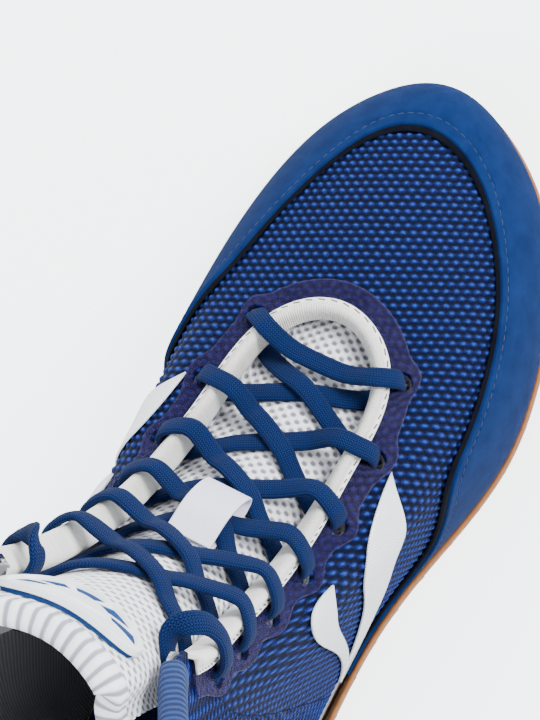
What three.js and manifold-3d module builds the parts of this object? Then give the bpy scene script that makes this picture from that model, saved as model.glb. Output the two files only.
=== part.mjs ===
// Boxing boot for the right foot, laced up. Millimetres, +X to the toe, +Y to the medial side, +Z up.
//
// Every layer of the upper is a shell on one surface, the last. A place on the last is given by a station
// round the foot (0 at the toe, 14 at the heel, + on the lateral side) and a height from 0 at the sole's
// feather line to 4 at the edge of the throat and collar. Layers are offsets outwards from the last.
import * as THREE from 'three';
import { mergeVertices } from 'three/addons/utils/BufferGeometryUtils.js';
import Module from 'manifold-3d';

// ---- Driving dimensions ----

const LAST_SCALE = 0.95;
const HEEL = 14;
const THROAT_TOP = 10;
const EDGE = 4;
const TOE_SWING = { from: 10, over: 130, by: 9 };
const TOE_SPRING = { from: 72, over: 66, by: 6.5 };

const LINING = [0, 0.8];
const STIFFENER = [1.2, 1.8];
const MESH = [2.2, 3.4];
const BACKING = [4.3, 4.7];
const OVERLAY = [5.1, 6];
const CUP = [6.4, 7.8];
const COLLAR_PUFF = 2.6;
const BACKING_SHOWS = 0.06;

const OUTSOLE_FLOOR = 3;
const MIDSOLE = [3.3, 5.4];
const BOARD = [6, 7.4];
const INSOLE = [7.7, 11.4];
const INSOLE_COVER = [11.7, 12.3];

const EYELET_ROWS = 7;
const FIRST_EYELET = 22;
const EYELET_PITCH = 20.3;
const EYELET_INSET = 10.5;
const EYELET_RADIUS = 3.25;
const EYELET_SIDES = 6;
const BINDING_WIDTH = 6.5;
const FILM_WIDTH = 13;
const SCALLOP = 3;

const LACE_WIDTH = 5;
const LACE_THICKNESS = 2.2;
const LACE_OVER_BINDING = 7.8;
const LACE_UNDER_LINING = -3.3;
const LACE_ON_TONGUE = 1.6;
const LACE_CROSSING_LIFT = 2.8;
const AGLET_LENGTH = 20;
const AGLET_RADIUS = 1.5;
const TAPE_WIDTH = 12;
const TAPE_THICKNESS = 0.8;

const TONGUE_DROP = 5.6;
const TONGUE_RISE = 18;
const TONGUE_MESH = [-1.1, 0];
const TONGUE_FOAM = [-3.9, -1.4];
const TONGUE_LINING = [-4.8, -4.2];

const PULL_LOOP = { width: 14, thickness: 1.2, height: 24, depth: 10, standOff: 8.2 };

// ---- Materials ----

const material = (color, roughness, extra = {}) =>
  new THREE.MeshStandardMaterial({ color, roughness, metalness: 0, ...extra });

const MATERIALS = {
  knit: material(0x1c46b0, 0.85),
  suede: material(0x24529b, 0.95),
  black: material(0x14161d, 0.9),
  lining: material(0xb9bcc4, 0.9),
  film: material(0x524a86, 0.35, { transparent: true, opacity: 0.75 }),
  binding: material(0xe9e9e4, 0.6),
  spacer: material(0xe6e6ee, 0.9),
  tape: material(0xe4e2f3, 0.7),
  moulded: material(0xe6e8ec, 0.4),
  lace: material(0x1f4596, 0.8),
  aglet: material(0x23345f, 0.3),
  gum: material(0xbe946e, 0.6),
  foam: material(0xe8e8e2, 0.9),
  board: material(0xcfc8b8, 0.95),
  insole: material(0x2a2d33, 0.9),
  stiffener: material(0xd9d4c6, 0.8),
  chevron: material(0xf3f5f7, 0.35),
};

// ---- The last ----

// Five rails of one side, from the toe to the heel, each point being x, half width, z.
const RAILS = [
  [[141, 0, 6], [134, 18, 6], [118, 33, 6], [96, 43, 6], [70, 48, 6], [44, 49, 6], [18, 44, 6],
    [-6, 38, 6], [-30, 34, 6], [-55, 33, 6], [-78, 33, 6], [-100, 32.5, 6], [-120, 28, 6],
    [-135, 16, 6], [-141, 0, 6]],
  [[143.5, 0, 17], [136, 19, 17], [119, 35, 18], [96, 45.5, 19], [70, 51, 20], [44, 52, 21],
    [18, 47, 22], [-6, 41, 23], [-30, 37.5, 24], [-55, 36.5, 25], [-78, 36.5, 26], [-101, 36, 27],
    [-123, 31, 28], [-140, 17.5, 28], [-147, 0, 28]],
  [[133, 0, 35], [124, 18.5, 35.5], [102, 34.5, 38.5], [78, 43.5, 41], [53, 47.2, 45], [28, 46.8, 50.5],
    [5, 42.8, 56.5], [-16, 39.7, 62.5], [-37, 37.2, 68.5], [-56, 36.2, 73.5], [-74, 35.5, 77],
    [-94, 34, 80], [-114, 27.8, 82], [-129, 15, 83], [-134.5, 0, 83]],
  [[93, 0, 55], [86, 18, 55], [66, 32, 57.5], [44, 36.5, 63.5], [22, 37.5, 72.5], [2, 37, 80.5],
    [-15, 35, 91.5], [-30, 33.3, 107.5], [-44, 33, 130], [-55, 33.5, 150], [-66, 34.5, 156],
    [-80, 35, 152], [-102, 31.5, 147], [-120, 18.2, 146], [-127.5, 0, 146]],
  [[57, 0, 66], [54, 8.5, 66.5], [46, 15, 68.5], [34, 18, 73.5], [20, 18.5, 80.5], [6, 19, 89.5],
    [-8, 19.5, 102], [-20, 20, 118], [-31, 21, 141], [-39, 23, 168], [-44, 26, 191], [-63, 35, 190],
    [-89, 38, 187], [-115, 29, 186], [-132, 0, 188]],
];

const MEDIAL_WAIST = { centre: -5, spread: 38, fade: 60, by: 0.22 };

function medialPoint([x, y, z]) {
  const { centre, spread, fade, by } = MEDIAL_WAIST;
  const low = Math.max(0, 1 - z / fade);
  return [x, y * (1 - by * Math.exp(-(((x - centre) / spread) ** 2)) * low), z];
}

// A natural cubic spline through points at whole-number parameters.
function naturalSpline(points) {
  const last = points.length - 1;
  const bend = points.map(() => new THREE.Vector3());
  const ratio = new Array(points.length).fill(0);
  for (let i = 1; i < last; i += 1) {
    const pivot = 4 - ratio[i - 1];
    ratio[i] = 1 / pivot;
    bend[i].copy(points[i + 1]).addScaledVector(points[i], -2).add(points[i - 1]).multiplyScalar(6);
    bend[i].sub(bend[i - 1]).divideScalar(pivot);
  }
  for (let i = last - 1; i > 0; i -= 1) {
    bend[i].addScaledVector(bend[i + 1], -ratio[i]);
  }
  return (t) => {
    const i = THREE.MathUtils.clamp(Math.floor(t), 0, last - 1);
    const f = t - i;
    const g = 1 - f;
    return new THREE.Vector3()
      .addScaledVector(points[i], g)
      .addScaledVector(points[i + 1], f)
      .addScaledVector(bend[i], (g ** 3 - g) / 6)
      .addScaledVector(bend[i + 1], (f ** 3 - f) / 6);
  };
}

// Each rail runs medial heel, toe, lateral heel, and laps over itself so that the heel is smooth.
const LAP = 4;
const railCurves = RAILS.map((rail) => {
  const medial = rail.map(medialPoint).map(([x, y, z]) => new THREE.Vector3(x, y, z));
  const lateral = rail.map(([x, y, z]) => new THREE.Vector3(x, -y, z));
  const loop = [...medial.reverse(), ...lateral.slice(1)];
  const lapped = [...loop.slice(-1 - LAP, -1), ...loop, ...loop.slice(1, 1 + LAP)];
  return naturalSpline(lapped);
});

const rise = ({ from, over, by }, x) => by * Math.max(0, (x - from) / over) ** 2;
const wrapStation = (u) => u - 2 * HEEL * Math.floor((u + HEEL) / (2 * HEEL));

function last(u, h) {
  const station = wrapStation(u) + HEEL + LAP;
  const point = naturalSpline(railCurves.map((curve) => curve(station)))(h);
  point.y += rise(TOE_SWING, point.x);
  point.multiplyScalar(LAST_SCALE);
  point.z += rise(TOE_SPRING, point.x);
  return point;
}

// The outward direction. At the feather line it is level, so that every layer ends on the sole.
function lastNormal(u, h) {
  const step = 0.002;
  const middle = THREE.MathUtils.clamp(h, step, EDGE - step);
  const along = last(u + step, middle).sub(last(u - step, middle));
  const up = last(u, middle + step).sub(last(u, middle - step));
  const normal = up.cross(along).normalize();
  const level = THREE.MathUtils.smoothstep(h, 0, 0.8);
  return normal.setZ(normal.z * level).normalize();
}

// The collar's foam swells the outer layers between two heights, most from 3 to 3.5.
const PUFF = { from: 2.5, full: 3, to: 3.5 };

function collarPuff(u, h) {
  const behind = THREE.MathUtils.smoothstep(Math.abs(wrapStation(u)), 10, 11.5);
  const rising = (h - PUFF.from) / (PUFF.full - PUFF.from);
  const falling = (EDGE - h) / (EDGE - PUFF.to);
  return COLLAR_PUFF * behind * THREE.MathUtils.clamp(Math.min(rising, falling), 0, 1);
}

function skin(u, h, offset, swollen = offset >= MESH[0]) {
  const swell = swollen ? collarPuff(u, h) : 0;
  return last(u, h).addScaledVector(lastNormal(u, h), offset + swell);
}

// The height that lies a given distance below the edge of the throat or collar.
function heightAt(u, distance) {
  const step = 0.02;
  let h = EDGE;
  let previous = last(u, h);
  let travelled = 0;
  while (travelled < distance && h > 0) {
    h -= step;
    const point = last(u, h);
    travelled += point.distanceTo(previous);
    previous = point;
  }
  return h + (step * (travelled - distance)) / Math.max(step, travelled);
}

// A point near the edge: away > 0 is on the boot, away < 0 reaches into the opening.
function rim(u, away, offset) {
  if (away >= 0) {
    return skin(u, heightAt(u, away), offset);
  }
  const outwards = last(u, EDGE).sub(last(u, EDGE - 0.05)).normalize();
  return skin(u, EDGE, offset).addScaledVector(outwards, -away);
}

// ---- Solids ----

// A closed body through rings of points that all have the same count. Open rows of rings are capped by a
// strip that zigzags across the end ring. From point foldAt on, the ring runs back, and its quads are split
// along the other diagonal, so that both faces of a thin shell are split alike.
function loft(rings, closed = false, foldAt = Infinity) {
  const count = rings[0].length;
  const position = rings.flat().flatMap((point) => point.toArray());
  const index = [];
  const spans = closed ? rings.length : rings.length - 1;
  for (let i = 0; i < spans; i += 1) {
    const here = i * count;
    const next = ((i + 1) % rings.length) * count;
    for (let k = 0; k < count; k += 1) {
      const turn = (k + 1) % count;
      const [a, b, c, d] = [here + k, next + k, next + turn, here + turn];
      index.push(...(k < foldAt ? [a, b, d, d, b, c] : [a, b, c, a, c, d]));
    }
  }
  if (!closed) {
    const lastRing = (rings.length - 1) * count;
    for (let low = 0, high = count - 1; low + 1 < high; low += 1, high -= 1) {
      index.push(low, low + 1, high);
      index.push(lastRing + low, lastRing + high, lastRing + low + 1);
      if (low + 1 < high - 1) {
        index.push(low + 1, high - 1, high);
        index.push(lastRing + low + 1, lastRing + high, lastRing + high - 1);
      }
    }
  }
  const geometry = new THREE.BufferGeometry();
  geometry.setAttribute('position', new THREE.Float32BufferAttribute(position, 3));
  geometry.setIndex(index);
  if (signedVolume(geometry) < 0) {
    geometry.setIndex(index.reverse());
  }
  return geometry;
}

function signedVolume(geometry) {
  const { position } = geometry.attributes;
  const corner = (i) => new THREE.Vector3().fromBufferAttribute(position, geometry.index.getX(i));
  let volume = 0;
  for (let i = 0; i < geometry.index.count; i += 3) {
    volume += corner(i).dot(corner(i + 1).cross(corner(i + 2))) / 6;
  }
  return volume;
}

function steps(from, to, step) {
  const count = Math.max(1, Math.round(Math.abs(to - from) / step));
  return Array.from({ length: count + 1 }, (_, i) => from + ((to - from) * i) / count);
}

// All layers share one grid of stations and heights, so that their facets run side by side and don't cut.
const HALF_GRID = [...steps(0, 6, 0.5), 7, 8, ...steps(9, 11, 0.5), ...steps(12, HEEL, 0.5)];
const GRID = [...HALF_GRID.slice(1).map((u) => -u).reverse(), ...HALF_GRID,
  ...HALF_GRID.slice(0, -1).map((u) => 2 * HEEL - u).reverse()];
const LOOP = GRID.filter((u) => u >= -HEEL && u < HEEL);
const HEIGHT_STEP = 0.5;

const stationsBetween = (from, to) => {
  const [low, high] = [Math.min(from, to), Math.max(from, to)];
  const near = 0.15;
  return [low, ...GRID.filter((u) => u > low + near && u < high - near), high];
};

// Rows from one height to another on the grid, squeezed together where the panel is low.
function rowsUpTo(top, low = 0) {
  const squeeze = 0.06;
  const count = Math.ceil((2.5 - low) / HEIGHT_STEP);
  const rows = [];
  for (let i = 0; i < count; i += 1) {
    rows.push(Math.min(low + i * HEIGHT_STEP, top - squeeze * (count - i)));
  }
  return [...rows.map((h) => Math.max(h, low)), top];
}

// A panel of the upper between two stations. Each station has the same number of rows.
function panel({ stations, rows, layer, closed = false, swollen }) {
  const rings = stations.map((u) => {
    const heights = rows(u);
    const outside = heights.map((h) => skin(u, h, layer[1], swollen));
    const inside = heights.map((h) => skin(u, h, layer[0]));
    return [...outside, ...inside.reverse()];
  });
  return loft(rings, closed, rings[0].length / 2);
}

const gridRows = (low, high) => () => steps(low, high, HEIGHT_STEP);

// A layer of the sole: the feather line's outline moved outwards, between two levels.
function outline(offset, level) {
  return LOOP.map((u) => {
    const point = last(u, 0);
    const spring = rise(TOE_SPRING, point.x);
    return point.addScaledVector(lastNormal(u, 0), offset).setZ(level + spring);
  });
}

function slab(offset, [bottom, top]) {
  return loft([outline(offset, bottom), outline(offset, top)]);
}

const wasm = await Module();
wasm.setup();

function toSolid(geometry) {
  const bare = geometry.clone();
  bare.deleteAttribute('normal');
  bare.deleteAttribute('uv');
  const merged = mergeVertices(bare, 1e-4);
  const vertProperties = new Float32Array(merged.attributes.position.array);
  const triVerts = new Uint32Array(merged.index.array);
  return new wasm.Manifold(new wasm.Mesh({ numProp: 3, vertProperties, triVerts }));
}

function toGeometry(solid) {
  const { vertProperties, triVerts } = solid.getMesh();
  const geometry = new THREE.BufferGeometry();
  geometry.setAttribute('position', new THREE.BufferAttribute(vertProperties, 3));
  geometry.setIndex(new THREE.BufferAttribute(triVerts, 1));
  return geometry;
}

// ---- Eyelets ----

const stationsOnThroat = (() => {
  const table = [{ u: 0, length: 0 }];
  const step = 0.02;
  for (let u = step; u <= THROAT_TOP; u += step) {
    const length = table.at(-1).length + last(u, EDGE).distanceTo(last(u - step, EDGE));
    table.push({ u, length });
  }
  return table;
})();

const eyeletStation = (row) =>
  stationsOnThroat.find(({ length }) => length >= FIRST_EYELET + row * EYELET_PITCH).u;

const LATERAL = 1;
const MEDIAL = -1;
const eyelets = Array.from({ length: EYELET_ROWS }, (_, row) => ({ u: eyeletStation(row) }));

function eyeletCutter(side, { u }) {
  const h = heightAt(u, EYELET_INSET);
  const axis = lastNormal(side * u, h);
  const reach = 16;
  const cutter = new THREE.CylinderGeometry(EYELET_RADIUS, EYELET_RADIUS, reach, EYELET_SIDES);
  cutter.applyQuaternion(new THREE.Quaternion().setFromUnitVectors(new THREE.Vector3(0, 1, 0), axis));
  cutter.translate(...last(side * u, h).toArray());
  return toSolid(cutter);
}

function punched(geometry, sides) {
  let solid = toSolid(geometry);
  for (const side of sides) {
    for (const eyelet of eyelets) {
      solid = solid.subtract(eyeletCutter(side, eyelet));
    }
  }
  return toGeometry(solid);
}

// ---- Upper ----

const bothSides = [LATERAL, MEDIAL];
const wholeUpper = (layer) =>
  punched(panel({ stations: LOOP, rows: gridRows(0, EDGE), layer, closed: true }), bothSides);

const toePuff = () => panel({ stations: stationsBetween(-3.5, 3.5), rows: gridRows(0, 2), layer: STIFFENER });
const heelCounter = () =>
  panel({ stations: stationsBetween(10.5, 17.5), rows: gridRows(0, 2), layer: STIFFENER });
const collarPadding = () => panel({
  stations: stationsBetween(10.5, 17.5),
  rows: gridRows(2.5, EDGE),
  layer: STIFFENER,
  swollen: true,
});

// The toe guard is widest over the inner side of the toes and runs out at the waist.
const GUARD_END = 8.5;
const guardTop = (u) => {
  const along = Math.abs(u);
  const front = 2.17 + 0.13 * THREE.MathUtils.smoothstep(along, 1, 3);
  const innerToes = 0.36 * Math.exp(-(((u + 2.4) / 1.2) ** 2));
  return front + innerToes - 1.85 * THREE.MathUtils.smoothstep(along, 4.2, 8);
};
const guardPanel = (layer, margin) => panel({
  stations: stationsBetween(-GUARD_END, GUARD_END),
  rows: (u) => rowsUpTo(guardTop(u) + margin),
  layer,
});

const heelOverlayTop = (u) => 1.9 - 1.2 * THREE.MathUtils.smoothstep(Math.abs(u - HEEL), 0.5, 3);
const heelOverlay = () =>
  panel({ stations: stationsBetween(11, 17), rows: (u) => rowsUpTo(heelOverlayTop(u)), layer: BACKING });
const backStay = () =>
  panel({ stations: stationsBetween(13.6, 14.4), rows: gridRows(2.05, 3.7), layer: BACKING });

// The film round the throat has a lobe at each eyelet.
function filmWidth(u) {
  const nearest = Math.min(...eyelets.map((eyelet) => Math.abs(Math.abs(u) - eyelet.u)));
  return FILM_WIDTH + SCALLOP * Math.cos(Math.PI * Math.min(1, nearest)) ** 2;
}

function filmRows(u) {
  const low = heightAt(u, filmWidth(u));
  const high = heightAt(u, 1);
  return [low, THREE.MathUtils.clamp(3.5, low + 0.1, high - 0.1), high];
}

const eyestayFilm = () =>
  punched(panel({ stations: stationsBetween(-9.5, 9.5), rows: filmRows, layer: BACKING }), bothSides);

const eyestayReinforcement = (side) =>
  punched(panel({ stations: stationsBetween(side * 1, side * 9.5), rows: gridRows(3, EDGE),
    layer: STIFFENER }), [side]);

// A folded strip over the edge: the outer leg, the roll, and the leg under the lining.
const BINDING_OUTSIDE = [[BINDING_WIDTH, 5.9], [2.5, 6.2], [-0.6, 5.7], [-2, 3.9], [-2, 0.7], [-0.6, -1.2],
  [5, -1.7]];
const BINDING_INSIDE = [[5, -1], [0, -0.5], [-0.8, 0.9], [-0.8, 3.7], [0, 5.1], [2.5, 5.2],
  [BINDING_WIDTH, 5.2]];

function edgeBinding(from, to, section) {
  const rings = stationsBetween(from, to).map((u) =>
    section.map(([away, offset]) => rim(u, away, offset)));
  return loft(rings, false, section.length / 2);
}

const throatBinding = () =>
  edgeBinding(-9.5, 9.5, [...BINDING_OUTSIDE, ...BINDING_INSIDE]);

const COLLAR_OUTSIDE = [[5.5, 4.8], [0.5, 4.7], [-1.3, 3.5], [-1.3, 0.3], [0.2, -1.2], [8, -2]];
const COLLAR_INSIDE = [[8, -1.2], [0.2, -0.5], [-0.5, 0.6], [-0.5, 3.2], [0.5, 3.9], [5.5, 4]];
const collarBinding = () => edgeBinding(10, 18, [...COLLAR_OUTSIDE, ...COLLAR_INSIDE]);

// A blade of a side chevron: pointed at its tip, widest at a quarter of its length, bowed towards the throat.
function blade(side, { tip, foot, halfWidth, bow }) {
  const count = 12;
  const rings = [];
  for (let i = 0; i <= count; i += 1) {
    const share = i / count;
    const u = THREE.MathUtils.lerp(tip[0], foot[0], share);
    const h = THREE.MathUtils.lerp(tip[1], foot[1], share) + bow * Math.sin(Math.PI * share);
    const narrowed = 1 - 0.55 * THREE.MathUtils.smoothstep(share, 0.3, 1);
    const spread = halfWidth * narrowed * Math.min(1, 0.08 + share * 4);
    const across = [-1, 0, 1].map((k) => [side * (u - 0.2 * k * spread), h + k * spread]);
    const outside = across.map(([station, height]) => skin(station, height, BACKING[1]));
    const inside = across.map(([station, height]) => skin(station, height, BACKING[0]));
    rings.push([...outside, ...inside.reverse()]);
  }
  return toSolid(loft(rings));
}

const CHEVRON_FOOT = [8.6, 0.8];
const CHEVRON_FRONT = { tip: [3.85, 3.18], foot: CHEVRON_FOOT, halfWidth: 0.26, bow: 0.28 };
const CHEVRON_REAR = { tip: [5.98, 3.03], foot: CHEVRON_FOOT, halfWidth: 0.2, bow: 0.45 };
function chevron(side) {
  return toGeometry(blade(side, CHEVRON_FRONT).add(blade(side, CHEVRON_REAR)));
}

// ---- Sole ----

function outsole() {
  const wallTop = 0.42;
  const wall = (h, offset) => LOOP.map((u) => skin(u, h, offset));
  return loft([
    outline(CUP[1] - 2.4, 0),
    outline(CUP[1] - 0.6, 1.5),
    wall(0, CUP[1]),
    wall(wallTop, CUP[1] - 0.2),
    wall(wallTop, CUP[0] + 0.1),
    wall(0.02, CUP[0]),
    outline(CUP[0] - 0.1, OUTSOLE_FLOOR),
  ]);
}

// ---- Tongue ----

// Sections from under the vamp to the tongue's top, seven points each from the medial to the lateral edge.
const TONGUE_STATIONS = [2.2, 3.2, 4.5, 6, 7.5, 9, 10];
const TONGUE_MIDDLE = 3;
const tongueArch = (u) => 3.6 + 2.4 * THREE.MathUtils.smoothstep(u, 1, 8);

function tongueSection(u) {
  const under = (side, away, drop) => rim(side * u, away, -drop);
  const left = [under(MEDIAL, 16, TONGUE_DROP), under(MEDIAL, 8, TONGUE_DROP)];
  const right = [under(LATERAL, 8, TONGUE_DROP), under(LATERAL, 16, TONGUE_DROP)];
  const edgeLeft = under(MEDIAL, 0, TONGUE_DROP - 0.3);
  const edgeRight = under(LATERAL, 0, TONGUE_DROP - 0.3);
  const up = lastNormal(u, EDGE).add(lastNormal(-u, EDGE)).normalize();
  const middle = edgeLeft.clone().add(edgeRight).multiplyScalar(0.5).addScaledVector(up, tongueArch(u));
  return [...left, edgeLeft, middle, edgeRight, ...right];
}

function tongueFront() {
  return [-3, -2, -1, 0, 1, 2, 3].map((k) => skin(k * 0.45, 3.5, -TONGUE_DROP));
}

function tongueTop(previous, before) {
  const middle = previous[TONGUE_MIDDLE];
  const direction = middle.clone().sub(before[TONGUE_MIDDLE]).normalize();
  return previous.map((point) => point.clone().addScaledVector(direction, TONGUE_RISE));
}

const tongueNet = (() => {
  const sections = [tongueFront(), ...TONGUE_STATIONS.map(tongueSection)];
  return [...sections, tongueTop(sections.at(-1), sections.at(-2))];
})();
const TONGUE_ROWS = tongueNet.length - 1;
const TONGUE_COLUMNS = tongueNet[0].length - 1;
const tongueCurves = tongueNet[0].map((_, k) => naturalSpline(tongueNet.map((section) => section[k])));

// A place on the tongue: row from 0 at the vamp to 8 at the top, column from 0 medial to 6 lateral.
function tongueSurface(row, column) {
  return naturalSpline(tongueCurves.map((curve) => curve(row)))(column);
}

function tongue(row, column, offset) {
  const step = 0.01;
  const along = tongueSurface(row + step, column).sub(tongueSurface(row - step, column));
  const across = tongueSurface(row, column + step).sub(tongueSurface(row, column - step));
  return tongueSurface(row, column).addScaledVector(along.cross(across).normalize(), offset);
}

const TONGUE_GRID = steps(0.1, TONGUE_COLUMNS - 0.1, 0.58);

function tongueLayer([inner, outer]) {
  const rings = steps(0, TONGUE_ROWS - 0.1, 0.5).map((row) => [
    ...TONGUE_GRID.map((column) => tongue(row, column, outer)),
    ...TONGUE_GRID.map((column) => tongue(row, column, inner)).reverse(),
  ]);
  return loft(rings, false, TONGUE_GRID.length);
}

// The bound top edge of the tongue folds over its three layers.
function tongueTopBinding() {
  const foot = TONGUE_ROWS - 0.28;
  const [under, clear] = [TONGUE_LINING[0] - 1.1, TONGUE_LINING[0] - 0.45];
  const rings = TONGUE_GRID.map((column) => {
    const below = tongueSurface(TONGUE_ROWS - 0.1, column);
    const above = tongueSurface(TONGUE_ROWS, column).sub(below).normalize();
    const over = (offset, lift) => tongue(TONGUE_ROWS, column, offset).addScaledVector(above, lift);
    return [
      tongue(foot, column, 1), over(1, 0), over(-0.4, 1.2), over(-4.4, 1.2), over(under, 0),
      tongue(foot, column, under), tongue(foot, column, clear),
      over(clear, -0.3), over(-4.3, 0.4), over(-0.5, 0.4), over(0.4, -0.3), tongue(foot, column, 0.4),
    ];
  });
  return loft(rings, false, 6);
}

const rowOfStation = (u) => {
  const stations = TONGUE_STATIONS;
  let i = 0;
  while (i < stations.length - 2 && stations[i + 1] < u) {
    i += 1;
  }
  return 1 + i + (u - stations[i]) / (stations[i + 1] - stations[i]);
};

// ---- Lace ----

// A place on a route: the point, and the direction that the flat side of the lace faces there.
const rimPlace = (u, away, offset) => ({
  point: rim(u, away, offset),
  up: lastNormal(u, away > 0 ? heightAt(u, away) : EDGE),
});
const tonguePlace = (u, column, offset) => {
  const row = rowOfStation(u);
  const point = tongue(row, column, offset);
  return { point, up: tongue(row, column, offset + 1).sub(point) };
};

// Down or up through an eyelet, seen from outside to inside.
const hole = (side, row, offset, nearer = 0) =>
  rimPlace(side * eyelets[row].u, EYELET_INSET - nearer, offset);
const outOfHole = (side, row) => [
  hole(side, row, -2.5, 2.2),
  hole(side, row, -0.4, 0.2),
  hole(side, row, 4.4, 0.2),
  hole(side, row, 7.1, 2),
];

const KEEPER_ROW = 3;
const KEEPER_SPACE = 1.4;

// The lace crosses the tongue from one eyelet to the next row's eyelet on the other side. It leaves its
// eyelet outside, passes over its own binding and under the other one, and comes out of the next eyelet.
function crossing(side, row) {
  const from = eyelets[row].u;
  const to = eyelets[row + 1].u;
  const station = (share) => THREE.MathUtils.lerp(from, to, share);
  const on = (share, offset) =>
    tonguePlace(station(share), TONGUE_MIDDLE + side * (1 - 2 * share), offset);
  const lift = side === MEDIAL ? LACE_CROSSING_LIFT : 0;
  const keeper = row === KEEPER_ROW ? KEEPER_SPACE : 0;
  const top = LACE_ON_TONGUE + lift + keeper;
  return [
    rimPlace(side * station(0.06), 4, LACE_OVER_BINDING),
    rimPlace(side * station(0.1), 0.5, LACE_OVER_BINDING),
    rimPlace(side * station(0.15), -3.2, 6.6),
    on(0.26, 5),
    on(0.36, top + 1),
    on(0.5, top),
    on(0.62, LACE_ON_TONGUE + lift * 0.8 + keeper * 1.2),
    on(0.74, LACE_ON_TONGUE + 0.4 + keeper * 0.3),
    on(0.86, LACE_ON_TONGUE + 0.5),
    rimPlace(-side * station(0.92), 1, LACE_UNDER_LINING),
    rimPlace(-side * station(0.96), 5, LACE_UNDER_LINING),
    ...outOfHole(-side, row + 1),
  ];
}

// The bar of the first row lies over the binding and goes down into both first eyelets.
function bar() {
  const { u } = eyelets[0];
  return [
    ...outOfHole(MEDIAL, 0).slice(1),
    rimPlace(MEDIAL * u, 4, LACE_OVER_BINDING),
    rimPlace(MEDIAL * u, 0, LACE_OVER_BINDING),
    tonguePlace(u, TONGUE_MIDDLE - 0.4, 6.6),
    tonguePlace(u, TONGUE_MIDDLE + 0.4, 6.6),
    rimPlace(LATERAL * u, 0, LACE_OVER_BINDING),
    rimPlace(LATERAL * u, 4, LACE_OVER_BINDING),
    ...outOfHole(LATERAL, 0).slice(1).reverse(),
  ];
}

// From the first eyelets the lace runs under the lining, crosses and comes out of the second eyelets.
function underCrossing(side) {
  const from = eyelets[0].u;
  const to = eyelets[1].u;
  const station = (share) => THREE.MathUtils.lerp(from, to, share);
  const on = (share, offset) =>
    tonguePlace(station(share), TONGUE_MIDDLE + side * (1 - 2 * share), offset);
  const lift = side === MEDIAL ? LACE_CROSSING_LIFT : 0;
  return [
    hole(side, 0, -2.5, 2.2),
    rimPlace(side * station(0.08), 5, LACE_UNDER_LINING),
    rimPlace(side * station(0.14), 0.5, LACE_UNDER_LINING),
    on(0.3, LACE_ON_TONGUE + lift * 0.6),
    on(0.5, LACE_ON_TONGUE + lift),
    on(0.7, LACE_ON_TONGUE + lift * 0.6),
    rimPlace(-side * station(0.86), 0.5, LACE_UNDER_LINING),
    rimPlace(-side * station(0.92), 5, LACE_UNDER_LINING),
    ...outOfHole(-side, 1),
  ];
}

// The ends leave the top eyelets, turn round the binding and are tucked in along the lining.
const TUCK_STATION = 0.5;
const TUCK_DEPTH = 38;
function tuckedEnd(side) {
  const { u } = eyelets.at(-1);
  const route = [[4, LACE_OVER_BINDING, 0.2], [0, LACE_OVER_BINDING, 0.4], [-4.2, 6, 0.7], [-5.2, 2, 1],
    [-3.6, -1.9, 1], [1, -3.3, 1], [8, -3.5, 1], [18, -3.4, 1], [28, -3.4, 1], [TUCK_DEPTH, -4, 1]];
  return route.map(([away, offset, share]) => rimPlace(side * (u + TUCK_STATION * share), away, offset));
}

// A strand starts at the bar and crosses at every row; the last crossing ends on the side it began.
function strand(side) {
  const places = underCrossing(side);
  let from = -side;
  for (let row = 1; row < EYELET_ROWS - 1; row += 1) {
    places.push(...crossing(from, row));
    from = -from;
  }
  return [...places, ...tuckedEnd(from)];
}

// A flat strip whose width stays square to its route and level with the surface below.
function ribbon(places, width, thickness, closed = false) {
  const section = [[0.5, 0], [0.32, 0.5], [-0.32, 0.5], [-0.5, 0], [-0.32, -0.5], [0.32, -0.5]];
  const at = (i) => places[closed ? (i + places.length) % places.length
    : THREE.MathUtils.clamp(i, 0, places.length - 1)].point;
  let side = new THREE.Vector3();
  const rings = places.map(({ point, up }, i) => {
    const along = at(i + 1).clone().sub(at(i - 1)).normalize();
    const wanted = up.clone().cross(along);
    const facing = wanted.dot(side) < 0 ? -1 : 1;
    side = side.clone().multiplyScalar(0.5).addScaledVector(wanted, facing);
    side.addScaledVector(along, -side.dot(along)).normalize();
    const flat = along.clone().cross(side);
    return section.map(([x, y]) =>
      point.clone().addScaledVector(side, x * width).addScaledVector(flat, y * thickness));
  });
  return loft(rings, closed);
}

const lace = () =>
  ribbon([...strand(MEDIAL).reverse(), ...bar(), ...strand(LATERAL)], LACE_WIDTH, LACE_THICKNESS);

function aglet(side) {
  const u = eyelets.at(-1).u + TUCK_STATION;
  const start = rim(side * u, TUCK_DEPTH + 0.8, -4.1);
  const end = rim(side * u, TUCK_DEPTH + 0.8 + AGLET_LENGTH, -5);
  const axis = end.clone().sub(start);
  const geometry = new THREE.CylinderGeometry(AGLET_RADIUS, AGLET_RADIUS, axis.length(), 10);
  geometry.applyQuaternion(new THREE.Quaternion().setFromUnitVectors(new THREE.Vector3(0, 1, 0),
    axis.clone().normalize()));
  geometry.translate(...start.add(end).multiplyScalar(0.5).toArray());
  return geometry;
}

// The white tape on the tongue is folded at its toe end and sewn at the other. A crossing passes through.
function tongueLaceLoop() {
  const [toe, sewn] = [eyelets[KEEPER_ROW].u - 0.05, eyelets[KEEPER_ROW + 1].u + 0.1];
  const path = [[1, 0.7], [0.66, 0.7], [0.33, 0.7], [0, 0.8], [-0.18, 3], [-0.12, 6.4], [0.2, 8.6],
    [0.45, 9], [0.7, 7.8], [0.88, 4.4], [1, 1.9]];
  const places = path.map(([share, offset]) =>
    tonguePlace(THREE.MathUtils.lerp(toe, sewn, share), TONGUE_MIDDLE, offset));
  return ribbon(places, TAPE_WIDTH, TAPE_THICKNESS);
}

// ---- Badge ----

const BADGE = { row: TONGUE_ROWS - 0.8, height: 0.48, width: 0.85, thickness: 1.8, gap: 1 };

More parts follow.
